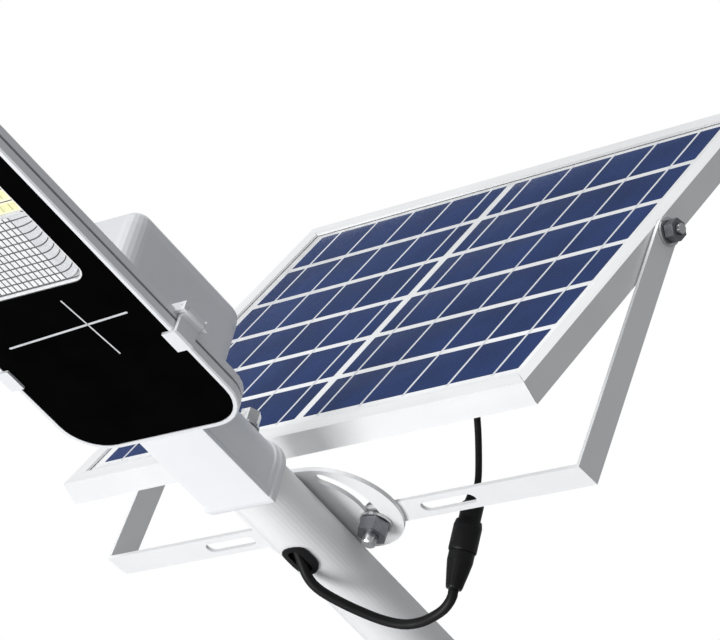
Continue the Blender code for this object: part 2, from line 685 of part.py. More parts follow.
# ---------------------------------------------------------------- U bracket
def build_bracket(bracket, plate_low):
    bar_low = plate_low + PLATE_THICK + CLEAR
    bar_top = bar_low + STRIP_THICK
    y0 = BAR_SETBACK - STRIP_WIDTH / 2
    y1 = BAR_SETBACK + STRIP_WIDTH / 2
    half = BRACKET_HALF
    strip = box("u_bracket", (-half + 0.001, y0, bar_low), (half - 0.001, y1, bar_top))
    for side in (-1, 1):
        # Arm outline is (height, depth); the top end is round about the tilt axis.
        outline = [(bar_low, y1), (bar_low, y0)]
        outline += arc((TILT_HEIGHT, BAR_SETBACK), STRIP_WIDTH / 2, -math.pi / 2, math.pi / 2, 14)
        upright = prism("bracket_arm", outline, half - STRIP_THICK, half)
        moved(upright, Matrix(((0, 0, side, 0), (0, 1, 0, 0), (1, 0, 0, 0), (0, 0, 0, 1))))
        join(strip, upright)
        hole = rod("tilt_hole", TILT_STUD_R + CLEAR, half - 0.02, half + 0.02)
        cut(strip, shifted(along_x(hole, side), y=BAR_SETBACK, z=TILT_HEIGHT))
        slot = slot_outline((side * BAR_SLOT_X, BAR_SETBACK), BAR_SLOT_LENGTH / 2,
                            BAR_SLOT_WIDTH / 2)
        cut(strip, prism("bar_slot", slot, -CUTTER_REACH, CUTTER_REACH))
    lug = [(LUG_ROOT, y0 + 0.002)] + arc((0.0, 0.0), LUG_R, math.radians(-5), math.radians(-175), 16)
    lug.append((-LUG_ROOT, y0 + 0.002))
    join(strip, prism("pivot_lug", lug, bar_low, bar_top))
    cut(strip, rod("pivot_hole", SWIVEL_BOLT_R + CLEAR, 0.0, CUTTER_REACH))
    bolt_x = math.sqrt(ARC_SLOT_R ** 2 - BAR_SETBACK ** 2)
    hole = rod("clamp_hole", SWIVEL_BOLT_R + CLEAR, 0.0, CUTTER_REACH)
    cut(strip, shifted(hole, bolt_x, BAR_SETBACK))
    finish(strip, "bracket_paint", bracket, 30)

    head_low = bar_top + CLEAR
    profile = [(SWIVEL_BOLT_R - 0.0008, 0.0019), (SWIVEL_BOLT_R, 0.0027), (SWIVEL_BOLT_R, head_low),
               (0.0085, head_low), (0.0080, head_low + 0.0018), (0.0052, head_low + 0.0034)]
    bolt = turned("clamp_bolt", profile, 28)
    finish(shifted(bolt, bolt_x, BAR_SETBACK), "fastener_steel", bracket, 30)
    washer_high = plate_low - CLEAR
    washer = bolt_ring("clamp_washer", 0.009, SWIVEL_BOLT_R + CLEAR, washer_high - 0.0015,
                       washer_high)
    finish(shifted(washer, bolt_x, BAR_SETBACK), "fastener_steel", bracket, 30)
    nut_high = washer_high - 0.0015 - CLEAR
    nut = hex_nut("clamp_nut", 0.015, SWIVEL_BOLT_R + CLEAR, nut_high - 0.0078, nut_high)
    moved(nut, Matrix.Rotation(math.radians(14), 4, 'Z'))
    finish(shifted(nut, bolt_x, BAR_SETBACK), "dark_steel", bracket)


# ---------------------------------------------------------------- connector
def build_connector(bracket):
    """Boot, coupling ring and socket in line on the cable, made along Z from the foot."""
    bpy.context.view_layer.update()
    into_bracket = bracket.matrix_local.inverted()
    foot = into_bracket @ Vector(CONNECTOR_FOOT)
    top = into_bracket @ Vector(CONNECTOR_TOP)
    length = (top - foot).length
    turn = (top - foot).to_track_quat('Z', 'Y').to_matrix().to_4x4()
    place = Matrix.Translation(foot) @ turn
    boot_top = 0.0200
    ring_low = boot_top + CLEAR
    ring_high = ring_low + 0.0170
    neck = 0.0050
    profile = [(0.0042, 0.0), (0.0046, 0.0012), (0.0062, 0.0100), (0.0070, 0.0150),
               (0.0070, boot_top), (neck, boot_top), (neck, boot_top + 0.0060),
               (0.0030, boot_top + 0.0060)]
    boot = turned("connector_boot", profile, 24)
    finish(moved(boot, place), "black_plastic", bracket, 30)
    bore = neck + CLEAR
    profile = [(bore, ring_low), (0.0074, ring_low), (0.0077, ring_low + 0.0008),
               (0.0077, ring_high - 0.0030), (0.0070, ring_high), (bore, ring_high)]
    ring = turned("coupling_ring", profile, 32, ring=True)
    finish(moved(ring, place), "black_plastic", bracket, 30)
    socket_low = ring_high + CLEAR
    profile = [(0.0030, ring_high - 0.0080), (neck, ring_high - 0.0080), (neck, socket_low),
               (0.0060, socket_low), (0.0060, length - 0.0065), (0.0048, length - 0.0050),
               (0.0040, length)]
    socket = turned("connector_socket", profile, 24)
    finish(moved(socket, place), "black_plastic", bracket, 30)


# ---------------------------------------------------------------- solar panel
def rail(name, length, profile):
    """A frame rail with mitred ends: along X, profile is (inset from outside, depth)."""
    loops = []
    for end in (-1, 1):
        loops.append([(end * (length / 2 - inset - CLEAR / 2), depth, inset)
                      for inset, depth in profile])
    return lofted(name, loops)


def build_panel(panel):
    half = PANEL_HALF_DEPTH
    wall = RAIL_WALL
    lip = 0.0014
    glass_front = -half + lip + CLEAR
    glass_back = glass_front + GLASS_THICK
    sheet_front = glass_back + CLEAR
    sheet_back = sheet_front + SHEET_THICK
    ledge = sheet_back + CLEAR
    profile = [(0.0, -half), (LIP_WIDTH, -half), (LIP_WIDTH, -half + lip), (wall, -half + lip),
               (wall, ledge), (LEDGE_WIDTH, ledge), (LEDGE_WIDTH, ledge + 0.0012),
               (wall, ledge + 0.0012), (wall, half - lip), (BACK_FLANGE, half - lip),
               (BACK_FLANGE, half), (0.0, half)]
    width = 2 * PANEL_HALF_X
    height = PANEL_TOP - PANEL_BOTTOM
    middle = (PANEL_TOP + PANEL_BOTTOM) / 2
    bottom = rail("rail_bottom", width, profile)
    finish(shifted(bottom, z=PANEL_BOTTOM), "frame_aluminium", panel)
    top = rail("rail_top", width, profile)
    moved(top, Matrix.Scale(-1, 4, (0, 0, 1)))
    finish(shifted(top, z=PANEL_TOP), "frame_aluminium", panel)
    for side, name in ((-1, "left"), (1, "right")):
        upright = rail("rail_" + name, height, profile)
        moved(upright, Matrix(((0, 0, -side, 0), (0, 1, 0, 0), (1, 0, 0, 0), (0, 0, 0, 1))))
        finish(shifted(upright, x=side * PANEL_HALF_X, z=middle), "frame_aluminium", panel)

    inset = wall + CLEAR
    low = (-PANEL_HALF_X + inset, glass_front, PANEL_BOTTOM + inset)
    high = (PANEL_HALF_X - inset, glass_back, PANEL_TOP - inset)
    finish(box("panel_glass", low, high), "panel_glass", panel)
    low = (low[0], sheet_front, low[2])
    high = (high[0], sheet_back, high[2])
    finish(box("cell_sheet", low, high), "cell_sheet", panel)

    box_front = sheet_back + CLEAR
    box_back = box_front + BOX_DEPTH
    case = box("junction_box", (BOX_X0, box_front, BOX_Z0), (BOX_X1, box_back, BOX_Z1))
    cut(case, box("box_inside", (BOX_X0 + BOX_WALL, box_front + BOX_WALL, BOX_Z0 + BOX_WALL),
                  (BOX_X1 - BOX_WALL, box_back + CUTTER_REACH, BOX_Z1 - BOX_WALL)))
    gland_y = box_front + BOX_DEPTH / 2
    hole = rod("gland_hole", GLAND_R + CLEAR, -0.01, 0.01)
    cut(case, shifted(hole, GLAND_X, gland_y, BOX_Z0))
    finish(case, "black_plastic", panel)
    lid = lofted("junction_lid", [
        [(x, box_back + CLEAR, z) for x, z in rounded_rect(BOX_X0, BOX_X1, BOX_Z0, BOX_Z1, 0.003)],
        [(x, box_back + 0.0022, z) for x, z in rounded_rect(BOX_X0, BOX_X1, BOX_Z0, BOX_Z1, 0.003)],
        [(x, box_back + 0.0032, z) for x, z in
         rounded_rect(BOX_X0 + 0.0012, BOX_X1 - 0.0012, BOX_Z0 + 0.0012, BOX_Z1 - 0.0012, 0.003)]])
    finish(lid, "black_plastic", panel, 30)
    lead = PANEL_LEAD_R + CLEAR
    profile = [(lead, 0.004), (GLAND_R, 0.004), (GLAND_R, -CLEAR), (GLAND_CAP_R, -CLEAR),
               (GLAND_CAP_R, -0.0060), (0.0052, -0.0110), (0.0038, -GLAND_LENGTH),
               (lead, -GLAND_LENGTH)]
    gland = turned("junction_gland", profile, 24, ring=True)
    finish(shifted(gland, GLAND_X, gland_y, BOX_Z0), "black_plastic", panel, 30)

    for side, name in ((-1, "left"), (1, "right")):
        start = PANEL_HALF_X + CLEAR
        arm_in = BRACKET_HALF - STRIP_THICK
        flange_out = arm_in - CLEAR
        washer_in = BRACKET_HALF + CLEAR
        nut_in = washer_in + 0.0012 + CLEAR
        tip = nut_in + 0.0085
        stud = turned("tilt_stud_" + name, [
            (0.0080, start), (0.0080, flange_out), (TILT_STUD_R, flange_out),
            (TILT_STUD_R, tip - 0.0006), (TILT_STUD_R - 0.0006, tip)], 24)
        finish(along_x(stud, side), "fastener_steel", panel, 30)
        washer = bolt_ring("tilt_washer_" + name, 0.0080, TILT_STUD_R + CLEAR, washer_in,
                           washer_in + 0.0012)
        finish(along_x(washer, side), "fastener_steel", panel, 30)
        nut = hex_nut("tilt_nut_" + name, 0.011, TILT_STUD_R + CLEAR, nut_in, nut_in + 0.0058)
        finish(along_x(nut, side), "dark_steel", panel)
    return gland_y


# ---------------------------------------------------------------- assembly
def build():
    clear_scene()
    arm = empty("arm_frame", (0, 0, 0), (-ARM_PITCH, 0, 0))
    lamp = empty("lamp_frame", (0, LAMP_Y, 0), (0, LAMP_ROLL, 0), arm)
    bracket = empty("bracket_frame", (SWIVEL_X, SWIVEL_Y, 0), (0, 0, SWIVEL_REST), arm)
    panel = empty("panel_frame", (0, BAR_SETBACK, TILT_HEIGHT), (TILT_REST, 0, 0), bracket)
    latch_left = empty("latch_left_frame", (-LATCH_X, LATCH_Y, LATCH_Z), (0, 0, 0), lamp)
    latch_right = empty("latch_right_frame", (LATCH_X, LATCH_Y, LATCH_Z), (0, 0, 0), lamp)

    plate_low = build_arm(arm)
    build_lamp(lamp)
    build_latch("latch_left", latch_left, -1)
    build_latch("latch_right", latch_right, 1)
    build_bracket(bracket, plate_low)
    build_connector(bracket)
    gland_y = build_panel(panel)

    # The lamp's lead runs inside the tube, out of the grommet and up to the connector's boot.
    foot = Vector(CONNECTOR_FOOT)
    axis = (Vector(CONNECTOR_TOP) - foot).normalized()
    ending = [foot - axis * 0.0050, foot - axis * CLEAR * 1.5]
    drop = Vector((0.0, 0.0, ROUTE_RADIUS - TUBE_R))
    route = [Vector(point) + drop for point in LAMP_LEAD_ROUTE]
    points = smooth_route(route + ending, 0.0062)
    finish_cable(cable("lamp_lead", points, LAMP_LEAD_R, 2), arm)

    # The panel's lead rises from the connector and enters the junction box through its gland.
    bpy.context.view_layer.update()
    into_arm = arm.matrix_world.inverted() @ panel.matrix_world
    heights = (-0.0210, -0.0170, -0.0060, 0.0060)
    entry = [into_arm @ Vector((GLAND_X, gland_y, BOX_Z0 + height)) for height in heights]
    top = Vector(CONNECTOR_TOP)
    beginning = [top + axis * CLEAR * 1.5, top + axis * 0.0040]
    points = smooth_route(beginning + PANEL_LEAD_ROUTE + entry, 0.0060)
    finish_cable(cable("panel_lead", points, PANEL_LEAD_R, 2), arm)


def finish_cable(obj, frame):
    obj.data.materials.append(material(obj.name + "_finish", "black_rubber"))
    obj.parent = frame


build()
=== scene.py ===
# %% [markdown]
# # A solar street lamp, piece by piece
# The lamp head sits on a sloping tube. A solar panel tilts in a U bracket beside it, and two short
# leads join them through a screwed connector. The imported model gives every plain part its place.
# Each cell here dresses one part: what it is on the real lamp, how it could be made, and why this
# way was chosen.

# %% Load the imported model
import json
import math

import bmesh
import bpy
from mathutils import Matrix, Vector


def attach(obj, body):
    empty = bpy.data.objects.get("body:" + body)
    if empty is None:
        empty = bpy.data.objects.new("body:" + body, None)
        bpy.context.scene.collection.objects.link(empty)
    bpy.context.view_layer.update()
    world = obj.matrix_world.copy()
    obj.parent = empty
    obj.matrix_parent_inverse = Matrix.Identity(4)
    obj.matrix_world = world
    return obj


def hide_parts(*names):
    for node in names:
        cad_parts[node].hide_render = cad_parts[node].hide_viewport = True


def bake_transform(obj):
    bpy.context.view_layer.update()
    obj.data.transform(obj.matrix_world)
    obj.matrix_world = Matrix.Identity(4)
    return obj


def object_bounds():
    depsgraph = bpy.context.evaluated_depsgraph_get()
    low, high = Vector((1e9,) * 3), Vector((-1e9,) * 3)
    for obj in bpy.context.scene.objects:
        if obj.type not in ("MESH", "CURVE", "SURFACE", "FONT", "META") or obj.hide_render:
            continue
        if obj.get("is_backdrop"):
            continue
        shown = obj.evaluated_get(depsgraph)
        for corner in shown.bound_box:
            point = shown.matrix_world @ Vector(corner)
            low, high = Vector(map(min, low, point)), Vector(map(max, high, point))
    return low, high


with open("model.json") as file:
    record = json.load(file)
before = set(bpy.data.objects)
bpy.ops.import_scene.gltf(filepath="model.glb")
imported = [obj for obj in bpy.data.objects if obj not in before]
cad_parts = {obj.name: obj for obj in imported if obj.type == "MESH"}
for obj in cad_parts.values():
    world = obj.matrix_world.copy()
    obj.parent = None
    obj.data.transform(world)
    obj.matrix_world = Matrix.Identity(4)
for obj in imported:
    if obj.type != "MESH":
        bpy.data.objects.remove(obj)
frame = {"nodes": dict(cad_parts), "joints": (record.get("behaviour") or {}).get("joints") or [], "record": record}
CAD_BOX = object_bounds()
print("model box in mm:", [[round(v * 1000) for v in corner] for corner in CAD_BOX])

# %% [markdown]
# ## Working frames
# The arm slopes, the lamp is rolled on it, and the panel is tilted in its bracket. A piece is far
# easier to draw flat, in its own frame, and to turn into place at the end. The joints of the
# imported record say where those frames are: a hinge gives a point and an axis.

# %% Frames from the joints
joint = {entry["name"]: entry for entry in frame["joints"]}


def point_of(name):
    return Vector(joint[name]["pos_m"])


def axis_of(name):
    return Vector(joint[name]["axis"]).normalized()


def frame_at(origin, x_axis, y_axis):
    """A turn and a place from an origin and two directions at right angles."""
    x_axis = x_axis.normalized()
    z_axis = x_axis.cross(y_axis).normalized()
    y_axis = z_axis.cross(x_axis)
    turn = Matrix((x_axis, y_axis, z_axis)).transposed().to_4x4()
    return Matrix.Translation(origin) @ turn


MM = 0.001
PANEL_TILT = math.radians(-19.8)
arm = frame_at(Vector((0, 0, 0)), Vector((1, 0, 0)), axis_of("lamp_roll"))
lamp = frame_at(point_of("lamp_roll"),
                point_of("latch_right_hinge") - point_of("latch_left_hinge"), axis_of("lamp_roll"))
swivel = axis_of("bracket_swivel")
across = -axis_of("panel_tilt")
panel = (frame_at(point_of("panel_tilt"), across, swivel.cross(across))
         @ Matrix.Rotation(PANEL_TILT, 4, 'X'))
print("arm slopes", round(math.degrees(math.asin(-arm[2][1])), 1), "degrees")

# %% [markdown]
# ## Camera
# The lamp is seen from below and from its right, with a long lens, so that the panel's edges stay
# nearly parallel. The camera looks a little upwards, and the floor stays out of its view.

# %% Camera
camera_data = bpy.data.cameras.new("long_lens")
camera_data.lens = 157.67
camera_data.sensor_width = 36
camera_data.clip_end = 50
camera = bpy.data.objects.new("camera", camera_data)
bpy.context.scene.collection.objects.link(camera)
camera_right = Vector((0.7803, 0.6255, 0.0))
camera_up = Vector((0.1163, -0.1451, 0.9826))
camera.matrix_world = frame_at(Vector((1.0666, -1.6204, -0.0126)), camera_right, camera_up)
bpy.context.scene.camera = camera
print("camera at", tuple(round(v, 2) for v in camera.location))

# %% [markdown]
# ## Small helpers
# An operator works on whatever is selected, so each piece starts with nothing selected. Faces are
# then picked by where they are. A finished piece keeps its place in its mesh, and its object stays
# at the origin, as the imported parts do.

# %% Helpers for modelling
def start_clean():
    if bpy.context.object and bpy.context.object.mode != 'OBJECT':
        bpy.ops.object.mode_set(mode='OBJECT')
    bpy.ops.object.select_all(action='DESELECT')


def named(name):
    obj = bpy.context.object
    obj.name = name
    obj.data.name = name
    return obj


def bake_place():
    bpy.ops.object.transform_apply(location=True, rotation=True, scale=True)


def block(name, low, high):
    """A box between two corners, ready to be shaped."""
    start_clean()
    low, high = Vector(low), Vector(high)
    bpy.ops.mesh.primitive_cube_add(size=1, location=(low + high) / 2)
    bpy.context.object.scale = high - low
    bake_place()
    return named(name)


def pick(obj, test, edges=False):
    """In edit mode, select only the faces (or edges) whose middle and direction pass the test."""
    bpy.ops.mesh.select_mode(type='EDGE' if edges else 'FACE')
    bpy.ops.mesh.select_all(action='DESELECT')
    bm = bmesh.from_edit_mesh(obj.data)
    chosen = 0
    for item in (bm.edges if edges else bm.faces):
        if edges:
            a, b = item.verts
            wanted = test((a.co + b.co) / 2, (b.co - a.co).normalized())
        else:
            wanted = test(item.calc_center_median(), item.normal)
        if wanted:
            item.select_set(True)
            chosen += 1
    bmesh.update_edit_mesh(obj.data)
    return chosen


def edit(obj):
    start_clean()
    bpy.context.view_layer.objects.active = obj
    obj.select_set(True)
    bpy.ops.object.mode_set(mode='EDIT')
    return obj


def tidy(merge=0.000002):
    """Merge doubles, point the faces outwards and leave edit mode."""
    bpy.ops.mesh.select_all(action='SELECT')
    bpy.ops.mesh.remove_doubles(threshold=merge)
    bpy.ops.mesh.normals_make_consistent(inside=False)
    bpy.ops.object.mode_set(mode='OBJECT')


def apply_modifier(obj, kind, **settings):
    start_clean()
    bpy.context.view_layer.objects.active = obj
    obj.select_set(True)
    modifier = obj.modifiers.new(kind.lower(), kind)
    for key, value in settings.items():
        setattr(modifier, key, value)
    bpy.ops.object.modifier_apply(modifier=modifier.name)
    return obj


def soften(obj, width, segments=2, angle=35):
    """Break the sharp edges, as paint and moulding do."""
    return apply_modifier(obj, 'BEVEL', width=width, segments=segments, limit_method='ANGLE',
                          angle_limit=math.radians(angle), harden_normals=False)


def place(obj, where, smooth=35):
    """Turn a piece drawn in its own frame into the lamp's frame."""
    obj.data.transform(where @ obj.matrix_world)
    obj.matrix_world = Matrix.Identity(4)
    start_clean()
    bpy.context.view_layer.objects.active = obj
    obj.select_set(True)
    bpy.ops.object.shade_smooth_by_angle(angle=math.radians(smooth))
    print(obj.name, "has", len(obj.data.polygons), "faces")
    return obj


def copy_of(obj, name, shift):
    """A copy with its own mesh, moved in its own frame."""
    twin = obj.copy()
    twin.data = obj.data.copy()
    twin.name = twin.data.name = name
    bpy.context.scene.collection.objects.link(twin)
    twin.data.transform(Matrix.Translation(shift))
    return twin


def joined(name, *pieces):
    start_clean()
    for piece in pieces:
        piece.select_set(True)
    bpy.context.view_layer.objects.active = pieces[0]
    bpy.ops.object.join()
    return named(name)


def turned(name, profile, sides=32):
    """A round piece along Z: a disc drawn out and resized through (radius, height) stations."""
    start_clean()
    radius, height = profile[0]
    bpy.ops.mesh.primitive_circle_add(vertices=sides, radius=radius, fill_type='NGON',
                                      location=(0, 0, height))
    bake_place()
    obj = named(name)
    bpy.ops.object.mode_set(mode='EDIT')
    bpy.ops.mesh.select_all(action='SELECT')
    for next_radius, next_height in profile[1:]:
        bpy.ops.mesh.extrude_region_move(
            TRANSFORM_OT_translate={"value": (0, 0, next_height - height)})
        factor = next_radius / radius
        bpy.ops.transform.resize(value=(factor, factor, 1))
        radius, height = next_radius, next_height
    tidy()
    return obj


# %% [markdown]
# ## The two leads
# The lamp's lead leaves the tube through a rubber grommet, hangs in a loop under the bracket and
# comes up into the connector. A thinner lead goes on from the connector to the junction box behind
# the panel. Each could be a chain of bent cylinders, but a smooth curve through a few points with a
# round section never kinks. Both leads cross a joint.

# %% Routes of the leads
LAMP_LEAD = 5.5 * MM
PANEL_LEAD = 3.7 * MM
CLEAR = 0.3 * MM
INSIDE_TUBE = [(0.0, -0.4820, -0.0070), (0.0, -0.4500, -0.0074), (0.0006, -0.4250, -0.0078),
               (0.0012, -0.4080, -0.0082), (0.0017, -0.3995, -0.0088), (0.0021, -0.3928, -0.0115)]
BELOW_TUBE = [(0.0021, -0.3928, -0.0115), (0.0029, -0.3845, -0.0166), (0.0040, -0.3762, -0.0221),
              (0.0072, -0.3692, -0.0252), (0.0135, -0.3605, -0.0268), (0.0220, -0.3505, -0.0277),
              (0.0320, -0.3410, -0.0282), (0.0420, -0.3350, -0.0278), (0.0520, -0.3335, -0.0262),
              (0.0612, -0.3350, -0.0240), (0.0684, -0.3370, -0.0212)]
CONNECTOR_FOOT = Vector((0.0738, -0.3410, -0.0120))
CONNECTOR_TOP = Vector((0.0800, -0.3560, 0.0385))
ABOVE_CONNECTOR = [(0.0806, -0.3592, 0.0480), (0.0804, -0.3636, 0.0570), (0.0800, -0.3695, 0.0680),
                   (0.0796, -0.3772, 0.0800), (0.0790, -0.3842, 0.0920)]
GLAND = Vector((0.0790, 0.0065, -0.0550))
connector_axis = (CONNECTOR_TOP - CONNECTOR_FOOT).normalized()


def smooth_route(points, spacing):
    """Even points along a Catmull-Rom curve through the chosen ones."""
    knots = [Vector(point) for point in points]
    knots.insert(0, 2 * knots[0] - knots[1])
    knots.append(2 * knots[-1] - knots[-2])
    fine = []
    for a, b, c, d in zip(knots, knots[1:], knots[2:], knots[3:]):
        for i in range(20):
            t = i / 20.0
            fine.append(0.5 * (2 * b + (c - a) * t + (2 * a - 5 * b + 4 * c - d) * t * t
                               + (3 * b - a - 3 * c + d) * t * t * t))
    fine.append(knots[-2])
    lengths = [0.0]
    for a, b in zip(fine, fine[1:]):
        lengths.append(lengths[-1] + (b - a).length)
    count = max(2, round(lengths[-1] / spacing))
    even = []
    index = 0
    for i in range(count + 1):
        target = lengths[-1] * i / count
        while index < len(fine) - 2 and lengths[index + 1] < target:
            index += 1
        share = (target - lengths[index]) / (lengths[index + 1] - lengths[index])
        even.append(fine[index].lerp(fine[index + 1], min(1.0, share)))
    return even


def route_length(points):
    return sum((b - a).length for a, b in zip(points, points[1:]))


# %% Draw the leads
def lead(name, points, diameter):
    """A round lead along world points, turned into a mesh."""
    start_clean()
    curve = bpy.data.curves.new(name, 'CURVE')
    curve.dimensions = '3D'
    curve.bevel_depth = diameter / 2
    curve.bevel_resolution = 6
    curve.use_fill_caps = True
    spline = curve.splines.new('POLY')
    spline.points.add(len(points) - 1)
    for knot, point in zip(spline.points, points):
        knot.co = (*point, 1.0)
    obj = bpy.data.objects.new(name, curve)
    bpy.context.scene.collection.objects.link(obj)
    bpy.context.view_layer.objects.active = obj
    obj.select_set(True)
    bpy.ops.object.convert(target='MESH')
    obj = named(name)
    edit(obj)
    tidy()
    return place(obj, Matrix.Identity(4), 60)


foot_end = [CONNECTOR_FOOT - connector_axis * 0.0050, CONNECTOR_FOOT - connector_axis * CLEAR * 1.5]
lamp_route = [arm @ p for p in smooth_route(BELOW_TUBE + foot_end, 0.0031)]
hidden_route = [arm @ p for p in smooth_route(INSIDE_TUBE, 0.0062)]
top_start = [CONNECTOR_TOP + connector_axis * CLEAR * 1.5, CONNECTOR_TOP + connector_axis * 0.0040]
into_arm = arm.inverted() @ panel
gland_points = [into_arm @ (GLAND + Vector((0, 0, z))) for z in (-0.0210, -0.0170, -0.0060, 0.0060)]
panel_route = [arm @ p for p in smooth_route(top_start + ABOVE_CONNECTOR + gland_points, 0.0031)]

lamp_lead_loop = lead("lamp_lead_loop", lamp_route, LAMP_LEAD)
lamp_lead_inside = lead("lamp_lead_inside", hidden_route, LAMP_LEAD)
panel_lead_run = lead("panel_lead_run", panel_route, PANEL_LEAD)
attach(lamp_lead_inside, "arm")
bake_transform(lamp_lead_loop)
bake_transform(panel_lead_run)
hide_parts("lamp_lead")
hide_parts("lamp_lead")
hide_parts("panel_lead")
print("lead lengths in mm:", round(route_length(lamp_route) * 1000),
      round(route_length(panel_route) * 1000))

# %% [markdown]
# ## Floor, sky and lights
# The lamp is a white thing on a white ground, so shape has to come from light. One large soft lamp
# stands low on the left and brightens what faces down and forward. The sky is bright to the eye but
# only half as bright as a light, so the faces that point right stay mid grey.

# %% Floor and sky
start_clean()
bpy.ops.mesh.primitive_plane_add(size=14, location=(0, 0, -1.10))
floor = named("floor")
floor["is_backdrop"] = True
pale = bpy.data.materials.new("pale_floor")
pale.use_nodes = True
pale.node_tree.nodes["Principled BSDF"].inputs["Base Color"].default_value = (0.62, 0.62, 0.63, 1)
pale.node_tree.nodes["Principled BSDF"].inputs["Roughness"].default_value = 0.9
floor.data.materials.append(pale)
world = bpy.data.worlds.new("studio")
bpy.context.scene.world = world
world.use_nodes = True
sky_nodes = world.node_tree.nodes
sky_links = world.node_tree.links
seen = sky_nodes["Background"]
seen.inputs["Color"].default_value = (1.0, 1.0, 1.0, 1.0)
seen.inputs["Strength"].default_value = 1.0
glow = sky_nodes.new("ShaderNodeBackground")
glow.inputs["Color"].default_value = (0.96, 0.98, 1.0, 1.0)
glow.inputs["Strength"].default_value = 0.36
rays = sky_nodes.new("ShaderNodeLightPath")
choose = sky_nodes.new("ShaderNodeMixShader")
sky_links.new(rays.outputs["Is Camera Ray"], choose.inputs["Fac"])
sky_links.new(glow.outputs["Background"], choose.inputs[1])
sky_links.new(seen.outputs["Background"], choose.inputs[2])
sky_links.new(choose.outputs["Shader"], sky_nodes["World Output"].inputs["Surface"])
bpy.context.scene.view_settings.view_transform = 'Standard'


# %% Lights
def soft_light(name, where, size, power, colour=(1, 1, 1)):
    data = bpy.data.lights.new(name, 'AREA')
    data.shape = 'SQUARE'
    data.size = size
    data.energy = power
    data.color = colour
    obj = bpy.data.objects.new(name, data)
    bpy.context.scene.collection.objects.link(obj)
    middle = (CAD_BOX[0] + CAD_BOX[1]) / 2
    obj.location = middle + Vector(where)
    obj.rotation_mode = 'QUATERNION'
    obj.rotation_quaternion = (middle - obj.location).to_track_quat('-Z', 'Y')
    obj.visible_camera = False
    return obj


soft_light("key_below", (-0.40, -1.75, -0.85), 1.1, 36)
soft_light("fill_top", (-0.5, -1.0, 2.0), 1.6, 34)


# %% [markdown]
# ## Finishes
# Every finish is a node material on Object coordinates, so the grain stays the same size on a small
# nut and on the long arm. Powder coat has a faint orange peel and a slightly uneven gloss. Moulded
# plastic is finer, rubber is duller, and plated steel has fine turned lines.

# %% Building blocks of a finish
class Finish:
    """A node material with its shader and a few short ways to add to it."""

    def __init__(self, name, colour, roughness, metallic=0.0, specular=0.5):
        self.material = bpy.data.materials.new(name)
        self.material.use_nodes = True
        self.nodes = self.material.node_tree.nodes
        self.links = self.material.node_tree.links
        self.shader = self.nodes["Principled BSDF"]
        self.colour = colour
        self.shader.inputs["Base Color"].default_value = (*colour, 1.0)
        self.shader.inputs["Roughness"].default_value = roughness
        self.shader.inputs["Metallic"].default_value = metallic
        self.shader.inputs["Specular IOR Level"].default_value = specular
        coordinates = self.nodes.new("ShaderNodeTexCoord")
        self.place = coordinates.outputs["Object"]

    def turned_to(self, where):
        """Read the pattern in a piece's own frame."""
        mapping = self.nodes.new("ShaderNodeMapping")
        back = where.inverted()
        mapping.inputs["Location"].default_value = back.translation
        mapping.inputs["Rotation"].default_value = back.to_euler()
        self.links.new(self.place, mapping.inputs["Vector"])
        self.place = mapping.outputs["Vector"]
        return self

    def noise(self, scale, detail=2.0, stretch=None):
        source = self.place
        if stretch:
            mapping = self.nodes.new("ShaderNodeMapping")
            mapping.inputs["Scale"].default_value = stretch
            self.links.new(source, mapping.inputs["Vector"])
            source = mapping.outputs["Vector"]
        texture = self.nodes.new("ShaderNodeTexNoise")
        texture.inputs["Scale"].default_value = scale
        texture.inputs["Detail"].default_value = detail
        self.links.new(source, texture.inputs["Vector"])
        return texture.outputs["Fac"]

    def spread(self, value, low, high):
        """Stretch a 0-1 pattern to a range."""
        node = self.nodes.new("ShaderNodeMapRange")
        node.inputs["From Min"].default_value = 0.3
        node.inputs["From Max"].default_value = 0.7
        node.inputs["To Min"].default_value = low
        node.inputs["To Max"].default_value = high
        self.links.new(value, node.inputs["Value"])
        return node.outputs["Result"]

    def tint(self, value, dark, light):
        """Colour that wanders between two multiples of the base colour."""
        ramp = self.nodes.new("ShaderNodeValToRGB")
        ramp.color_ramp.elements[0].position = 0.3
        ramp.color_ramp.elements[1].position = 0.7
        for element, factor in zip(ramp.color_ramp.elements, (dark, light)):
            element.color = (*(min(1.0, c * factor) for c in self.colour), 1.0)
        self.links.new(value, ramp.inputs["Fac"])
        self.links.new(ramp.outputs["Color"], self.shader.inputs["Base Color"])
        return ramp.outputs["Color"]

    def roughen(self, value, low, high):
        self.links.new(self.spread(value, low, high), self.shader.inputs["Roughness"])
        return self

    def bump(self, value, depth, strength=1.0):
        node = self.nodes.new("ShaderNodeBump")
        node.inputs["Strength"].default_value = strength
        node.inputs["Distance"].default_value = depth
        self.links.new(value, node.inputs["Height"])
        self.links.new(node.outputs["Normal"], self.shader.inputs["Normal"])
        return self


# %% Paint, plastic, rubber and metal
def powder_coat(name, colour, roughness=0.42):
    finish = Finish(name, colour, roughness, specular=0.35)
    finish.tint(finish.noise(9, 3), 0.965, 1.02)
    finish.roughen(finish.noise(35, 3), roughness - 0.05, roughness + 0.07)
    return finish.bump(finish.noise(620, 2), 0.00004, 0.35).material


def moulded(name, colour, roughness, grain=1400, specular=0.4):
    finish = Finish(name, colour, roughness, specular=specular)
    finish.tint(finish.noise(60, 3), 0.75, 1.3)
    finish.roughen(finish.noise(90, 3), roughness - 0.07, roughness + 0.10)
    return finish.bump(finish.noise(grain, 2), 0.00003, 0.4).material


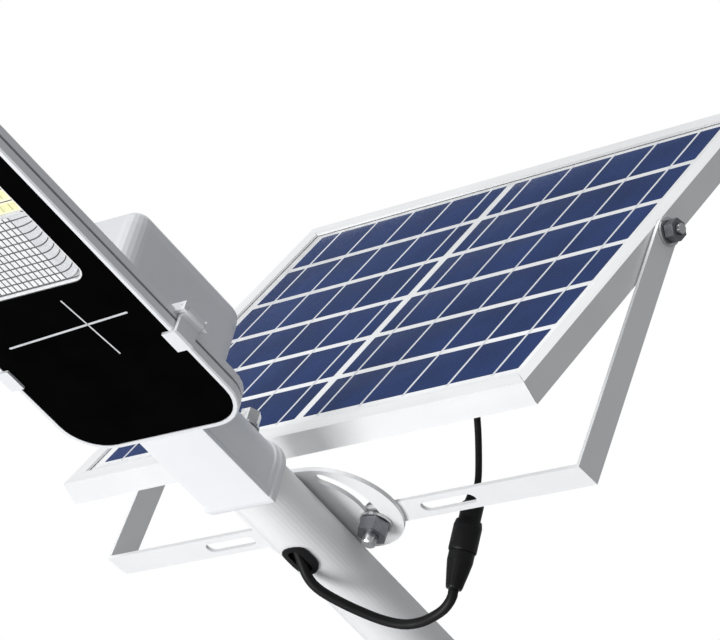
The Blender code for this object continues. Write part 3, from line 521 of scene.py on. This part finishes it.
def plated(name, colour, roughness, lines=(1, 1, 1)):
    finish = Finish(name, colour, roughness, metallic=1.0)
    finish.tint(finish.noise(80, 4), 0.82, 1.06)
    finish.roughen(finish.noise(300, 3, lines), roughness - 0.08, roughness + 0.12)
    return finish.bump(finish.noise(900, 2, lines), 0.00002, 0.3).material


WHITE = (0.90, 0.905, 0.91)
ROOM = {
    "arm_paint": powder_coat("arm_powder_coat", WHITE),
    "lamp_paint": powder_coat("lamp_powder_coat", (0.80, 0.81, 0.83), 0.38),
    "bracket_paint": powder_coat("bracket_powder_coat", WHITE, 0.40),
    "fastener_steel": plated("zinc_plate", (0.66, 0.67, 0.68), 0.30),
    "dark_steel": plated("dark_zinc_plate", (0.22, 0.22, 0.24), 0.36),
    "black_rubber": moulded("black_rubber", (0.004, 0.004, 0.0045), 0.50, specular=0.25),
    "black_plastic": moulded("black_nylon", (0.004, 0.004, 0.0045), 0.38, specular=0.25),
    "board_green": moulded("solder_mask", (0.03, 0.16, 0.06), 0.35, 500),
    "cell_sheet": moulded("white_backing_film", (0.80, 0.81, 0.82), 0.45, 700),
    "cell_wrap": moulded("cell_sleeve", (0.05, 0.16, 0.45), 0.32, 900),
}
print("finishes:", len(ROOM))


# %% [markdown]
# The panel's frame is extruded aluminium with a satin anodised skin. Extrusion leaves very fine
# lines along the rail. A metal mirrors the room, and here the room is white, so a half-metallic
# skin with stretched noise gives the pale satin look without turning grey.

# %% Anodised aluminium
def anodised(name, where, lines):
    finish = Finish(name, (0.90, 0.905, 0.91), 0.36, metallic=0.12, specular=0.4)
    finish.turned_to(where)
    finish.tint(finish.noise(14, 3), 0.96, 1.02)
    finish.roughen(finish.noise(260, 3, lines), 0.30, 0.46)
    return finish.bump(finish.noise(700, 2, lines), 0.000015, 0.35).material


ROOM["frame_aluminium"] = anodised("anodised_along", panel, (0.03, 1, 1))
anodised_up = anodised("anodised_upright", panel, (1, 1, 0.03))

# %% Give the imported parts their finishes
slot_of = {entry["node"]: entry["material_slot"] for entry in frame["record"]["subparts"]}
dressed = 0
for node_name, obj in frame["nodes"].items():
    finish = ROOM.get(slot_of[node_name])
    if node_name in ("rail_left", "rail_right"):
        finish = anodised_up
    if finish:
        for index in range(len(obj.data.materials)):
            obj.data.materials[index] = finish
        dressed += 1
print("parts dressed:", dressed, "of", len(frame["nodes"]))


def dress(obj, finish, body, slot, *stands_for):
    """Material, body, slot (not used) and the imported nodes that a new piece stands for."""
    obj.data.materials.clear()
    obj.data.materials.append(finish)
    if body:
        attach(obj, body)
    if stands_for:
        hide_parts(*stands_for)
    return obj


for piece in (lamp_lead_loop, lamp_lead_inside, panel_lead_run):
    dress(piece, ROOM["black_rubber"], None, "black_rubber")

# %% [markdown]
# ## The face of the solar panel
# A panel is a sandwich: tempered glass, a clear film, the cells with their silver ribbons, and a
# white backing sheet. It could be one picture on a flat plate, but then nothing catches the light
# along the ribbons. Here the backing is a plate, each string of cells is a thin slab on it, and the
# ribbons cross the slabs. The clear glass is so thin in front of them that it is left out, and the
# cells' finish carries it as a thin coat of gloss.

# %% White laminate
HALF_X = 175.0 * MM
FACE_DEPTH = -5.3 * MM
LAMINATE_BACK = -2.4 * MM
INSET = 1.9 * MM
laminate = block("panel_laminate",
                 (-HALF_X + INSET, FACE_DEPTH + 0.15 * MM, -152.3 * MM + INSET),
                 (HALF_X - INSET, LAMINATE_BACK, 127.7 * MM - INSET))
soften(laminate, 0.6 * MM)
white_film = Finish("white_film", (0.86, 0.87, 0.88), 0.30, specular=0.25)
white_film.tint(white_film.noise(30, 3), 0.97, 1.02)
white_film.roughen(white_film.noise(120, 2), 0.22, 0.36)
white_film.bump(white_film.noise(300, 2), 0.00003, 0.2)
place(laminate, panel)
dress(laminate, white_film.material, "panel", "panel_glass", "panel_glass")

# %% Strings of cells
ROW_PITCH = 41.66 * MM
ROW_GAP = 4.8 * MM
ROWS = 6
STRING_INNER = 3.25 * MM
STRING_OUTER = 157.4 * MM
ARRAY_MIDDLE = (127.7 - 152.3) / 2 * MM + 2.8 * MM
first_row = ARRAY_MIDDLE - (ROWS - 1) / 2 * ROW_PITCH
cells = block("solar_cells",
              (STRING_INNER, FACE_DEPTH + 0.05 * MM, first_row - (ROW_PITCH - ROW_GAP) / 2),
              (STRING_OUTER, FACE_DEPTH + 0.30 * MM, first_row + (ROW_PITCH - ROW_GAP) / 2))
edit(cells)
pick(cells, lambda middle, along: abs(along.y) > 0.9, edges=True)
bpy.ops.mesh.bevel(offset=0.8 * MM, segments=2)
pick(cells, lambda middle, normal: normal.y < -0.9)
bpy.ops.mesh.inset(thickness=0.25 * MM, depth=0.0)
bpy.ops.transform.translate(value=(0, -0.04 * MM, 0))
tidy()
apply_modifier(cells, 'ARRAY', count=ROWS, use_relative_offset=False, use_constant_offset=True,
               constant_offset_displace=(0, 0, ROW_PITCH))
apply_modifier(cells, 'MIRROR', use_axis=(True, False, False), use_mirror_merge=False)
edit(cells)
tidy(0.0000005)

# Silicon is deep blue with faint crystal shading and very fine silver fingers across each cell.
silicon = Finish("blue_silicon", (0.014, 0.033, 0.120), 0.30, specular=0.12)
silicon.shader.inputs["IOR"].default_value = 1.25
silicon.turned_to(panel)
shade = silicon.noise(22, 4)
base = silicon.tint(shade, 0.80, 1.22)
wave = silicon.nodes.new("ShaderNodeTexWave")
wave.wave_type = 'BANDS'
wave.bands_direction = 'Z'
wave.inputs["Scale"].default_value = 160.0
wave.inputs["Distortion"].default_value = 0.0
silicon.links.new(silicon.place, wave.inputs["Vector"])
fingers = silicon.nodes.new("ShaderNodeValToRGB")
fingers.color_ramp.elements[0].position = 0.90
fingers.color_ramp.elements[1].position = 1.0
fingers.color_ramp.elements[0].color = (0, 0, 0, 1)
fingers.color_ramp.elements[1].color = (0.22, 0.22, 0.22, 1)
silicon.links.new(wave.outputs["Fac"], fingers.inputs["Fac"])
lay = silicon.nodes.new("ShaderNodeMix")
lay.data_type = 'RGBA'
lay.inputs["B"].default_value = (0.20, 0.26, 0.42, 1.0)
silicon.links.new(fingers.outputs["Color"], lay.inputs["Factor"])
silicon.links.new(base, lay.inputs["A"])
silicon.links.new(lay.outputs["Result"], silicon.shader.inputs["Base Color"])
silicon.roughen(silicon.noise(180, 3), 0.22, 0.38)
silicon.bump(silicon.noise(260, 3), 0.00002, 0.25)
silicon.shader.inputs["Coat Weight"].default_value = 0.08
silicon.shader.inputs["Coat Roughness"].default_value = 0.04
place(cells, panel)
dress(cells, silicon.material, "panel", "panel_glass")

# %% Silver ribbons
RIBBON_PITCH = 31.35 * MM
RIBBON = 1.7 * MM
RIBBONS = 5
rows_low = first_row - (ROW_PITCH - ROW_GAP) / 2 - 2.4 * MM
rows_high = rows_low + ROWS * ROW_PITCH
ribbons = block("cell_ribbons", (RIBBON_PITCH / 2 - RIBBON / 2, FACE_DEPTH - 0.04 * MM, rows_low),
                (RIBBON_PITCH / 2 + RIBBON / 2, FACE_DEPTH + 0.20 * MM, rows_high))
edit(ribbons)
pick(ribbons, lambda middle, along: abs(along.z) > 0.9 and middle.y < FACE_DEPTH, edges=True)
bpy.ops.mesh.bevel(offset=0.06 * MM, segments=2)
tidy()
apply_modifier(ribbons, 'ARRAY', count=RIBBONS, use_relative_offset=False,
               use_constant_offset=True, constant_offset_displace=(RIBBON_PITCH, 0, 0))
apply_modifier(ribbons, 'MIRROR', use_axis=(True, False, False), use_mirror_merge=False)
edit(ribbons)
tidy(0.0000005)
tinned = Finish("tinned_ribbon", (0.82, 0.84, 0.87), 0.34, metallic=0.15, specular=0.4)
tinned.turned_to(panel)
tinned.tint(tinned.noise(120, 3, (1, 1, 0.1)), 0.90, 1.05)
tinned.roughen(tinned.noise(200, 3, (1, 1, 0.1)), 0.24, 0.46)
tinned.bump(tinned.noise(500, 2), 0.00002, 0.3)
place(ribbons, panel)
dress(ribbons, tinned.material, "panel", "panel_glass")
print("cells and ribbons stand", round((FACE_DEPTH + 7 * MM) * 1000, 2), "mm below the frame's lip")

# %% [markdown]
# ## The lamp's front glass
# The front is one flat pane with a black border printed on it and a clear window over the reflector.
# The border could be a mask in one material. Two fitted pieces are clearer to work with: a black
# plate with a rounded opening, cut by a Boolean, and a clear pane that fills it.

# %% Black border with its window
FACE_Z = -20.6 * MM
GLASS = 2.8 * MM
LAMP_HALF = 57.0 * MM
LAMP_LENGTH = 330.0 * MM
SEAT = 3.2 * MM
WINDOW_HALF = 39.4 * MM
WINDOW_NEAR = -118.6 * MM
WINDOW_FAR = -317.4 * MM


def rounded_block(name, low, high, radius, segments=10):
    """A box whose four upright corners are rounded."""
    obj = block(name, low, high)
    edit(obj)
    pick(obj, lambda middle, along: abs(along.z) > 0.9, edges=True)
    bpy.ops.mesh.bevel(offset=radius, segments=segments)
    tidy()
    return obj


border = rounded_block("lamp_glass_border",
                       (-LAMP_HALF + SEAT, -LAMP_LENGTH + SEAT, FACE_Z),
                       (LAMP_HALF - SEAT, -SEAT, FACE_Z + GLASS), 25.0 * MM - SEAT, 14)
opening = rounded_block("opening", (-WINDOW_HALF, WINDOW_FAR, FACE_Z - 0.01),
                        (WINDOW_HALF, WINDOW_NEAR, FACE_Z + 0.02), 9.0 * MM)
apply_modifier(border, 'BOOLEAN', object=opening, operation='DIFFERENCE', solver='EXACT')
bpy.data.objects.remove(opening)
edit(border)
tidy()
soften(border, 0.25 * MM, 1)
black_print = Finish("black_printed_glass", (0.0015, 0.0015, 0.0016), 0.07, specular=0.03)
black_print.shader.inputs["IOR"].default_value = 1.12
black_print.tint(black_print.noise(40, 3), 0.7, 1.3)
black_print.roughen(black_print.noise(26, 4), 0.04, 0.12)
black_print.bump(black_print.noise(8, 2), 0.0002, 0.05)
place(border, lamp)
dress(border, black_print.material, "lamp", "lamp_glass", "front_glass")

gap = 0.08 * MM
pane = rounded_block("lamp_glass_window",
                     (-WINDOW_HALF + gap, WINDOW_FAR + gap, FACE_Z + 0.05 * MM),
                     (WINDOW_HALF - gap, WINDOW_NEAR - gap, FACE_Z + 0.35 * MM), 8.9 * MM)
soften(pane, 0.08 * MM, 1)
clear = Finish("clear_glass", (0.93, 0.95, 0.96), 0.05, specular=0.3)
clear.tint(clear.noise(50, 2), 0.98, 1.02)
clear.roughen(clear.noise(40, 3), 0.03, 0.09)
clear.bump(clear.noise(12, 2), 0.0001, 0.05)
clear.shader.inputs["Alpha"].default_value = 0.06
place(pane, lamp)
dress(pane, clear.material, "lamp", "lamp_glass")

# %% [markdown]
# Two thin pale rules cross on the border, printed in one pass. They are drawn as very low bars so
# that their ends stay crisp.

# %% Printed rules
def rule(name, start, end, width):
    """A low bar between two points of the glass face."""
    a, b = Vector((*start, 0)), Vector((*end, 0))
    half = (b - a).length / 2
    bar = block(name, (-half, -width / 2, FACE_Z - 0.03 * MM), (half, width / 2, FACE_Z + 0.2 * MM))
    edit(bar)
    pick(bar, lambda middle, along: abs(along.z) > 0.9, edges=True)
    bpy.ops.mesh.bevel(offset=width * 0.3, segments=3)
    tidy()
    turn = math.atan2(b.y - a.y, b.x - a.x)
    bar.data.transform(Matrix.Translation((a + b) / 2) @ Matrix.Rotation(turn, 4, 'Z'))
    return bar


rules = joined("printed_rules",
               rule("rule_across", (-38.0 * MM, -86.7 * MM), (42.2 * MM, -91.4 * MM), 1.3 * MM),
               rule("rule_along", (13.9 * MM, -109.5 * MM), (17.9 * MM, -65.6 * MM), 0.9 * MM))
pale_ink = Finish("pale_ink", (0.62, 0.63, 0.65), 0.35, specular=0.2)
pale_ink.tint(pale_ink.noise(400, 3), 0.90, 1.08)
pale_ink.roughen(pale_ink.noise(500, 2), 0.28, 0.45)
pale_ink.bump(pale_ink.noise(900, 2), 0.00001, 0.3)
place(rules, lamp)
dress(rules, pale_ink.material, "lamp", "lamp_glass")

# %% [markdown]
# ## Reflector and light field
# Behind the window a shallow bright tray surrounds the board of yellow light chips. Its two ends
# are ribbed into small mirrors that spread the light along the street: straight ribs across, short
# cuts along, and plain ribs that curl up at the sides. The tray is a plane in a fine grid, bent up
# at its sides. Its faces are inset one by one, and what is left between them is the groove, coloured
# near black as painted shade. The ribs on the curled sides take a darker copy of the tray's finish,
# also painted shade.

# %% Ribbed ends of the reflector
TRAY_EDGE = 38.7 * MM
TRAY_FLAT = 24.5 * MM
COLUMN = 3.5 * MM
ROW = 4.95 * MM
TRAY_ROWS = 10
MOUTH = -20.0 * MM
FLOOR = -17.2 * MM
GROOVE = 0.42 * MM
RAISED = 0.30 * MM
bright = Finish("bright_reflector", (0.93, 0.93, 0.94), 0.22, metallic=0.10, specular=0.4)
bright.tint(bright.noise(300, 3), 0.95, 1.03)
bright.roughen(bright.noise(400, 2), 0.16, 0.34)
bright.bump(bright.noise(700, 2), 0.00002, 0.3)
# A darker copy of the reflector's finish, with satin noise along the ribs: its darker colour is painted shade on
# the curled sides, the back and the steps.
reflector_shade_copy = Finish("satin_reflector_painted_shade", (0.70, 0.71, 0.73), 0.34, metallic=0.1, specular=0.3)
reflector_shade_copy.tint(reflector_shade_copy.noise(120, 3, (1, 0.2, 1)), 0.88, 1.10)
reflector_shade_copy.roughen(reflector_shade_copy.noise(400, 2), 0.22, 0.40)
reflector_shade_copy.bump(reflector_shade_copy.noise(700, 2), 0.00002, 0.3)
# The groove finish is near black: painted shade in the grooves between the ribs and on the board's saw cuts.
groove_shade = Finish("dark_groove_shade", (0.006, 0.006, 0.007), 0.6, specular=0.2)
groove_shade.tint(groove_shade.noise(300, 2), 0.7, 1.3)
groove_shade.roughen(groove_shade.noise(300, 2), 0.5, 0.7)
groove_shade.bump(groove_shade.noise(900, 2), 0.00002, 0.3)


def tray_height(x):
    """The tray is flat in the middle and curls up towards the glass at its sides."""
    share = max(0.0, (abs(x) - TRAY_FLAT) / (TRAY_EDGE - TRAY_FLAT))
    return FLOOR + (MOUTH - FLOOR) * (1 - math.sqrt(max(0.0, 1 - share * share)))


def with_tray_finishes(obj):
    for finish in (bright, reflector_shade_copy, groove_shade):
        obj.data.materials.append(finish.material)
    return obj


def ribbed_tray(name, near):
    """A tray ribbed from near towards the tip; the columns stop where the sides curl up."""
    start_clean()
    columns = 14
    at_near_end = near > WINDOW_NEAR - 10 * MM
    bow = 7.5 * MM if at_near_end else -7.5 * MM
    start = near if at_near_end else near - TRAY_ROWS * ROW
    flat = COLUMN * columns / 2
    length = TRAY_ROWS * ROW
    bpy.ops.mesh.primitive_grid_add(x_subdivisions=columns, y_subdivisions=TRAY_ROWS, size=1,
                                    location=(0, near - length / 2, FLOOR))
    bpy.context.object.scale = (2 * flat, length, 1)
    bake_place()
    tray = with_tray_finishes(named(name))
    bpy.ops.object.mode_set(mode='EDIT')
    pick(tray, lambda middle, normal: True)
    bpy.ops.mesh.inset(thickness=GROOVE, depth=0.0, use_individual=True)
    bpy.ops.transform.translate(value=(0, 0, -RAISED))
    bpy.ops.object.mode_set(mode='OBJECT')
    # Raised ribs take the bright finish; the grooves left between them take the near-black painted shade.
    for polygon in tray.data.polygons:
        polygon.material_index = 0 if polygon.select else 2
    wings = []
    for side in (-1, 1):
        start_clean()
        reach = TRAY_EDGE - flat
        bpy.ops.mesh.primitive_grid_add(x_subdivisions=12, y_subdivisions=TRAY_ROWS, size=1,
                                        location=(side * (flat + reach / 2), near - length / 2, FLOOR))
        bpy.context.object.scale = (reach, length, 1)
        bake_place()
        wing = with_tray_finishes(named("wing"))
        bpy.ops.object.mode_set(mode='EDIT')
        for row in range(TRAY_ROWS):
            top = near - row * ROW
            pick(wing, lambda middle, normal: top - ROW < middle.y < top)
            bpy.ops.mesh.inset(thickness=GROOVE, depth=0.0)
            bpy.ops.transform.translate(value=(0, 0, -RAISED))
        # Raised ribs on the curled sides take the darker copy, painted shade; the grooves take the near-black
        # painted shade.
        bm = bmesh.from_edit_mesh(wing.data)
        for face in bm.faces:
            face.material_index = 1 if face.calc_center_median().z < FLOOR - RAISED * 0.9 else 2
        bmesh.update_edit_mesh(wing.data)
        bpy.ops.object.mode_set(mode='OBJECT')
        for vertex in wing.data.vertices:
            x, y, z = vertex.co
            share = max(0.0, (abs(x) - flat) / (TRAY_EDGE - flat))
            depth = abs(y - start) / length
            vertex.co.z = z + (tray_height(x) - FLOOR)
            vertex.co.y = y - bow * share ** 2.2 * (1 - depth ** 3)
        wings.append(wing)
    return joined(name, tray, *wings)


def finish_tray(tray, node):
    edit(tray)
    bpy.ops.mesh.select_all(action='SELECT')
    bpy.ops.mesh.remove_doubles(threshold=0.000002)
    bpy.ops.mesh.flip_normals()
    bpy.ops.object.mode_set(mode='OBJECT')
    apply_modifier(tray, 'SOLIDIFY', thickness=0.8 * MM, offset=-1.0)
    place(tray, lamp, 25)
    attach(tray, "lamp")
    if node:
        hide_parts(node)


near_tray = ribbed_tray("reflector_near", -119.4 * MM)
far_tray = ribbed_tray("reflector_far", WINDOW_FAR + 1.0 * MM + TRAY_ROWS * ROW)
finish_tray(near_tray, "reflector")
finish_tray(far_tray, None)

# %% Rim of the reflector under the glass
# The back takes the darker copy of the reflector's finish, painted shade.
back = rounded_block("reflector_back", (-WINDOW_HALF + 0.2 * MM, WINDOW_FAR + 0.2 * MM, FLOOR + 0.5 * MM),
                     (WINDOW_HALF - 0.2 * MM, WINDOW_NEAR - 0.2 * MM, FLOOR + 1.2 * MM), 8.7 * MM)
soften(back, 0.15 * MM, 1)
place(back, lamp)
dress(back, reflector_shade_copy.material, "lamp", "reflector_chrome")

ring = rounded_block("reflector_rim", (-WINDOW_HALF + 0.1 * MM, WINDOW_FAR + 0.1 * MM, MOUTH),
                     (WINDOW_HALF - 0.1 * MM, WINDOW_NEAR - 0.1 * MM, MOUTH + 1.6 * MM), 8.8 * MM)
inner = rounded_block("inner", (-38.3 * MM, WINDOW_FAR + 1.1 * MM, -0.05),
                      (38.3 * MM, WINDOW_NEAR - 1.1 * MM, 0.05), 7.8 * MM)
apply_modifier(ring, 'BOOLEAN', object=inner, operation='DIFFERENCE', solver='EXACT')
bpy.data.objects.remove(inner)
edit(ring)
tidy()
soften(ring, 0.15 * MM, 1)
place(ring, lamp)
dress(ring, bright.material, "lamp", "reflector_chrome")

# %% [markdown]
# The board carries rows of small yellow chips. One chip is modelled and copied along the rows with
# two array modifiers. A thin near-black strip between the rows stands for a shallow saw cut; its
# colour is painted shade.

# %% Board of light chips
BOARD_NEAR = -169.2 * MM
BOARD_FAR = -266.8 * MM
BOARD_HALF = 38.5 * MM
board = block("light_board", (-BOARD_HALF, BOARD_FAR, -18.0 * MM), (BOARD_HALF, BOARD_NEAR, -16.9 * MM))
soften(board, 0.3 * MM, 1)
pale_board = Finish("pale_board", (0.96, 0.93, 0.70), 0.45, specular=0.2)
pale_board.tint(pale_board.noise(45, 3), 0.94, 1.04)
pale_board.roughen(pale_board.noise(150, 2), 0.36, 0.52)
pale_board.bump(pale_board.noise(500, 2), 0.00002, 0.3)
place(board, lamp)
dress(board, pale_board.material, "lamp", "board_green", "led_board")

CHIP_X = 5.5 * MM
CHIP_Y = 8.1 * MM
chips = block("light_chips", (-38.0 * MM, BOARD_NEAR - 6.2 * MM, -18.7 * MM),
              (-33.6 * MM, BOARD_NEAR - 1.6 * MM, -17.9 * MM))
edit(chips)
pick(chips, lambda middle, normal: normal.z < -0.9)
bpy.ops.mesh.inset(thickness=0.55 * MM, depth=-0.18 * MM)
tidy()
soften(chips, 0.12 * MM, 1)
apply_modifier(chips, 'ARRAY', count=14, use_relative_offset=False, use_constant_offset=True,
               constant_offset_displace=(CHIP_X, 0, 0))
apply_modifier(chips, 'ARRAY', count=12, use_relative_offset=False, use_constant_offset=True,
               constant_offset_displace=(0, -CHIP_Y, 0))
phosphor = Finish("yellow_phosphor", (1.0, 0.93, 0.50), 0.40, specular=0.2)
phosphor.tint(phosphor.noise(200, 3), 0.90, 1.10)
phosphor.roughen(phosphor.noise(300, 2), 0.32, 0.50)
phosphor.bump(phosphor.noise(700, 2), 0.00002, 0.3)
place(chips, lamp)
dress(chips, phosphor.material, "lamp", "board_green")

# A thin near-black strip for each saw cut between chip rows: painted shade.
saw_cut_shade = block("board_saw_cut_shade", (-BOARD_HALF, BOARD_NEAR - 7.9 * MM, -18.15 * MM),
                 (BOARD_HALF, BOARD_NEAR - 7.3 * MM, -17.8 * MM))
soften(saw_cut_shade, 0.1 * MM, 1)
apply_modifier(saw_cut_shade, 'ARRAY', count=11, use_relative_offset=False, use_constant_offset=True,
               constant_offset_displace=(0, -CHIP_Y, 0))
place(saw_cut_shade, lamp)
dress(saw_cut_shade, groove_shade.material, "lamp", "board_green")

# The steps beside the board take the darker copy of the reflector's finish, painted shade.
shaded_step = block("reflector_step", (-BOARD_HALF, BOARD_NEAR + 0.1 * MM, -18.3 * MM),
                   (BOARD_HALF, BOARD_NEAR + 2.4 * MM, -17.0 * MM))
soften(shaded_step, 0.3 * MM, 2)
far_strip = copy_of(shaded_step, "reflector_step_far", (0, BOARD_FAR - BOARD_NEAR - 2.5 * MM, 0))
for strip in (shaded_step, far_strip):
    place(strip, lamp)
    dress(strip, reflector_shade_copy.material, "lamp", "reflector_chrome")

# %% [markdown]
# ## The neck
# The neck is a hollow casting that clamps the tube. It is flat below and round above. Its sides and
# top are sunk a little, which leaves a bead along each lower edge and a thicker ring at the mouth.
# It is drawn as one disc whose lower half is squared, then pulled out along the tube. Two insets
# round the sides and top make the bead and the step down to the sunken field, and the inner one is
# shrunk towards the tube. The ring at the mouth is three more extrusions.

# %% Neck casting
TUBE_R = 17.5 * MM
BORE_R = TUBE_R + 0.3 * MM
BOSS_R = 5.5 * MM
BOSS_FOOT = 18.5 * MM
BOSS_TOP = 22.4 * MM
BOSS_EDGE = 0.5 * MM
SET_BOLT_Y = 50.0 * MM
NECK_R = 20.8 * MM
NECK_FLOOR = 19.6 * MM
NECK_START = 0.3 * MM
BEAD_WIDTH = 2.4 * MM
BEAD_STEP = 0.4 * MM
SUNK = (0.93, 1, 0.93)
RING_START = 59.5 * MM
RING_EDGE = 0.9 * MM
RING_WIDTH = 3.7 * MM
RING_SWELL = (1.055, 1, 1.03)
RING_SHRINK = (0.955, 1, 0.955)


def square_below(obj):
    """Push the lower half of a round section out to a flat floor and upright sides."""
    for vertex in obj.data.vertices:
        x, z = vertex.co.x, vertex.co.z
        if z < -1e-6:
            if abs(x) >= abs(z):
                vertex.co.z = -NECK_FLOOR * abs(z) / abs(x)
                vertex.co.x = math.copysign(NECK_R, x)
            else:
                vertex.co.x = NECK_R * x / abs(z)
                vertex.co.z = -NECK_FLOOR


start_clean()
bpy.ops.mesh.primitive_circle_add(vertices=64, radius=NECK_R, fill_type='NGON',
                                  location=(0, NECK_START, 0), rotation=(math.pi / 2, 0, 0))
bake_place()
neck = named("neck_casting")
square_below(neck)
bpy.ops.object.mode_set(mode='EDIT')
bpy.ops.mesh.select_all(action='SELECT')
bpy.ops.mesh.extrude_region_move(
    TRANSFORM_OT_translate={"value": (0, RING_START - NECK_START, 0)})
bpy.ops.mesh.select_all(action='SELECT')
bpy.ops.mesh.normals_make_consistent(inside=False)
pick(neck, lambda middle, normal: abs(normal.y) < 0.5 and normal.z > -0.5)
bpy.ops.mesh.inset(thickness=BEAD_WIDTH, depth=0.0)
bpy.ops.mesh.inset(thickness=BEAD_STEP, depth=0.0)
bpy.ops.transform.resize(value=SUNK)
pick(neck, lambda middle, normal: middle.y > RING_START - 0.1 * MM and normal.y > 0.9)
bpy.ops.mesh.extrude_region_move(TRANSFORM_OT_translate={"value": (0, RING_EDGE, 0)})
bpy.ops.transform.resize(value=RING_SWELL)
bpy.ops.mesh.extrude_region_move(TRANSFORM_OT_translate={"value": (0, RING_WIDTH, 0)})
bpy.ops.mesh.extrude_region_move(TRANSFORM_OT_translate={"value": (0, RING_EDGE, 0)})
bpy.ops.transform.resize(value=RING_SHRINK)
tidy()

# The corner away from the panel is cut off, and the tube's bore runs right through.
edit(neck)
bpy.ops.mesh.select_all(action='SELECT')
bpy.ops.mesh.bisect(plane_co=(-22.3 * MM, 61.0 * MM, 0), plane_no=(-4.3, 16.0, 0),
                    use_fill=True, clear_outer=True)
tidy()
start_clean()
bpy.ops.mesh.primitive_cylinder_add(vertices=96, radius=BORE_R, depth=0.2,
                                    location=(0, 0.03, 0), rotation=(math.pi / 2, 0, 0))
bake_place()
bore = named("bore")
apply_modifier(neck, 'BOOLEAN', object=bore, operation='DIFFERENCE', solver='EXACT')
bpy.data.objects.remove(bore)
boss = turned("boss", [(BOSS_R, BOSS_FOOT), (BOSS_R, BOSS_TOP - BOSS_EDGE),
                       (BOSS_R - BOSS_EDGE, BOSS_TOP)], 40)
boss.data.transform(Matrix.Translation((0, SET_BOLT_Y, 0)))
apply_modifier(neck, 'BOOLEAN', object=boss, operation='UNION', solver='EXACT')
bpy.data.objects.remove(boss)
soften(neck, 0.35 * MM, 2, 40)
place(neck, lamp, 40)
dress(neck, ROOM["lamp_paint"], "lamp", "lamp_paint", "neck_trough", "neck_cover")

# %% [markdown]
# ## Size against the imported model
# Both boxes are measured, and the growth of the dressed lamp past the imported model's box is
# printed at each corner. The dressed lamp has to stay inside the imported model's box.

# %% Sizes
size_rows = {"cad": [list(corner) for corner in CAD_BOX],
             "visual": [list(corner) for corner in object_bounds()]}
for corner, end in ((1, "high"), (0, "low")):
    both = zip(size_rows["visual"][corner], size_rows["cad"][corner])
    print("growth in mm at the", end, "corner:", [round((a - b) * 1000, 2) for a, b in both])
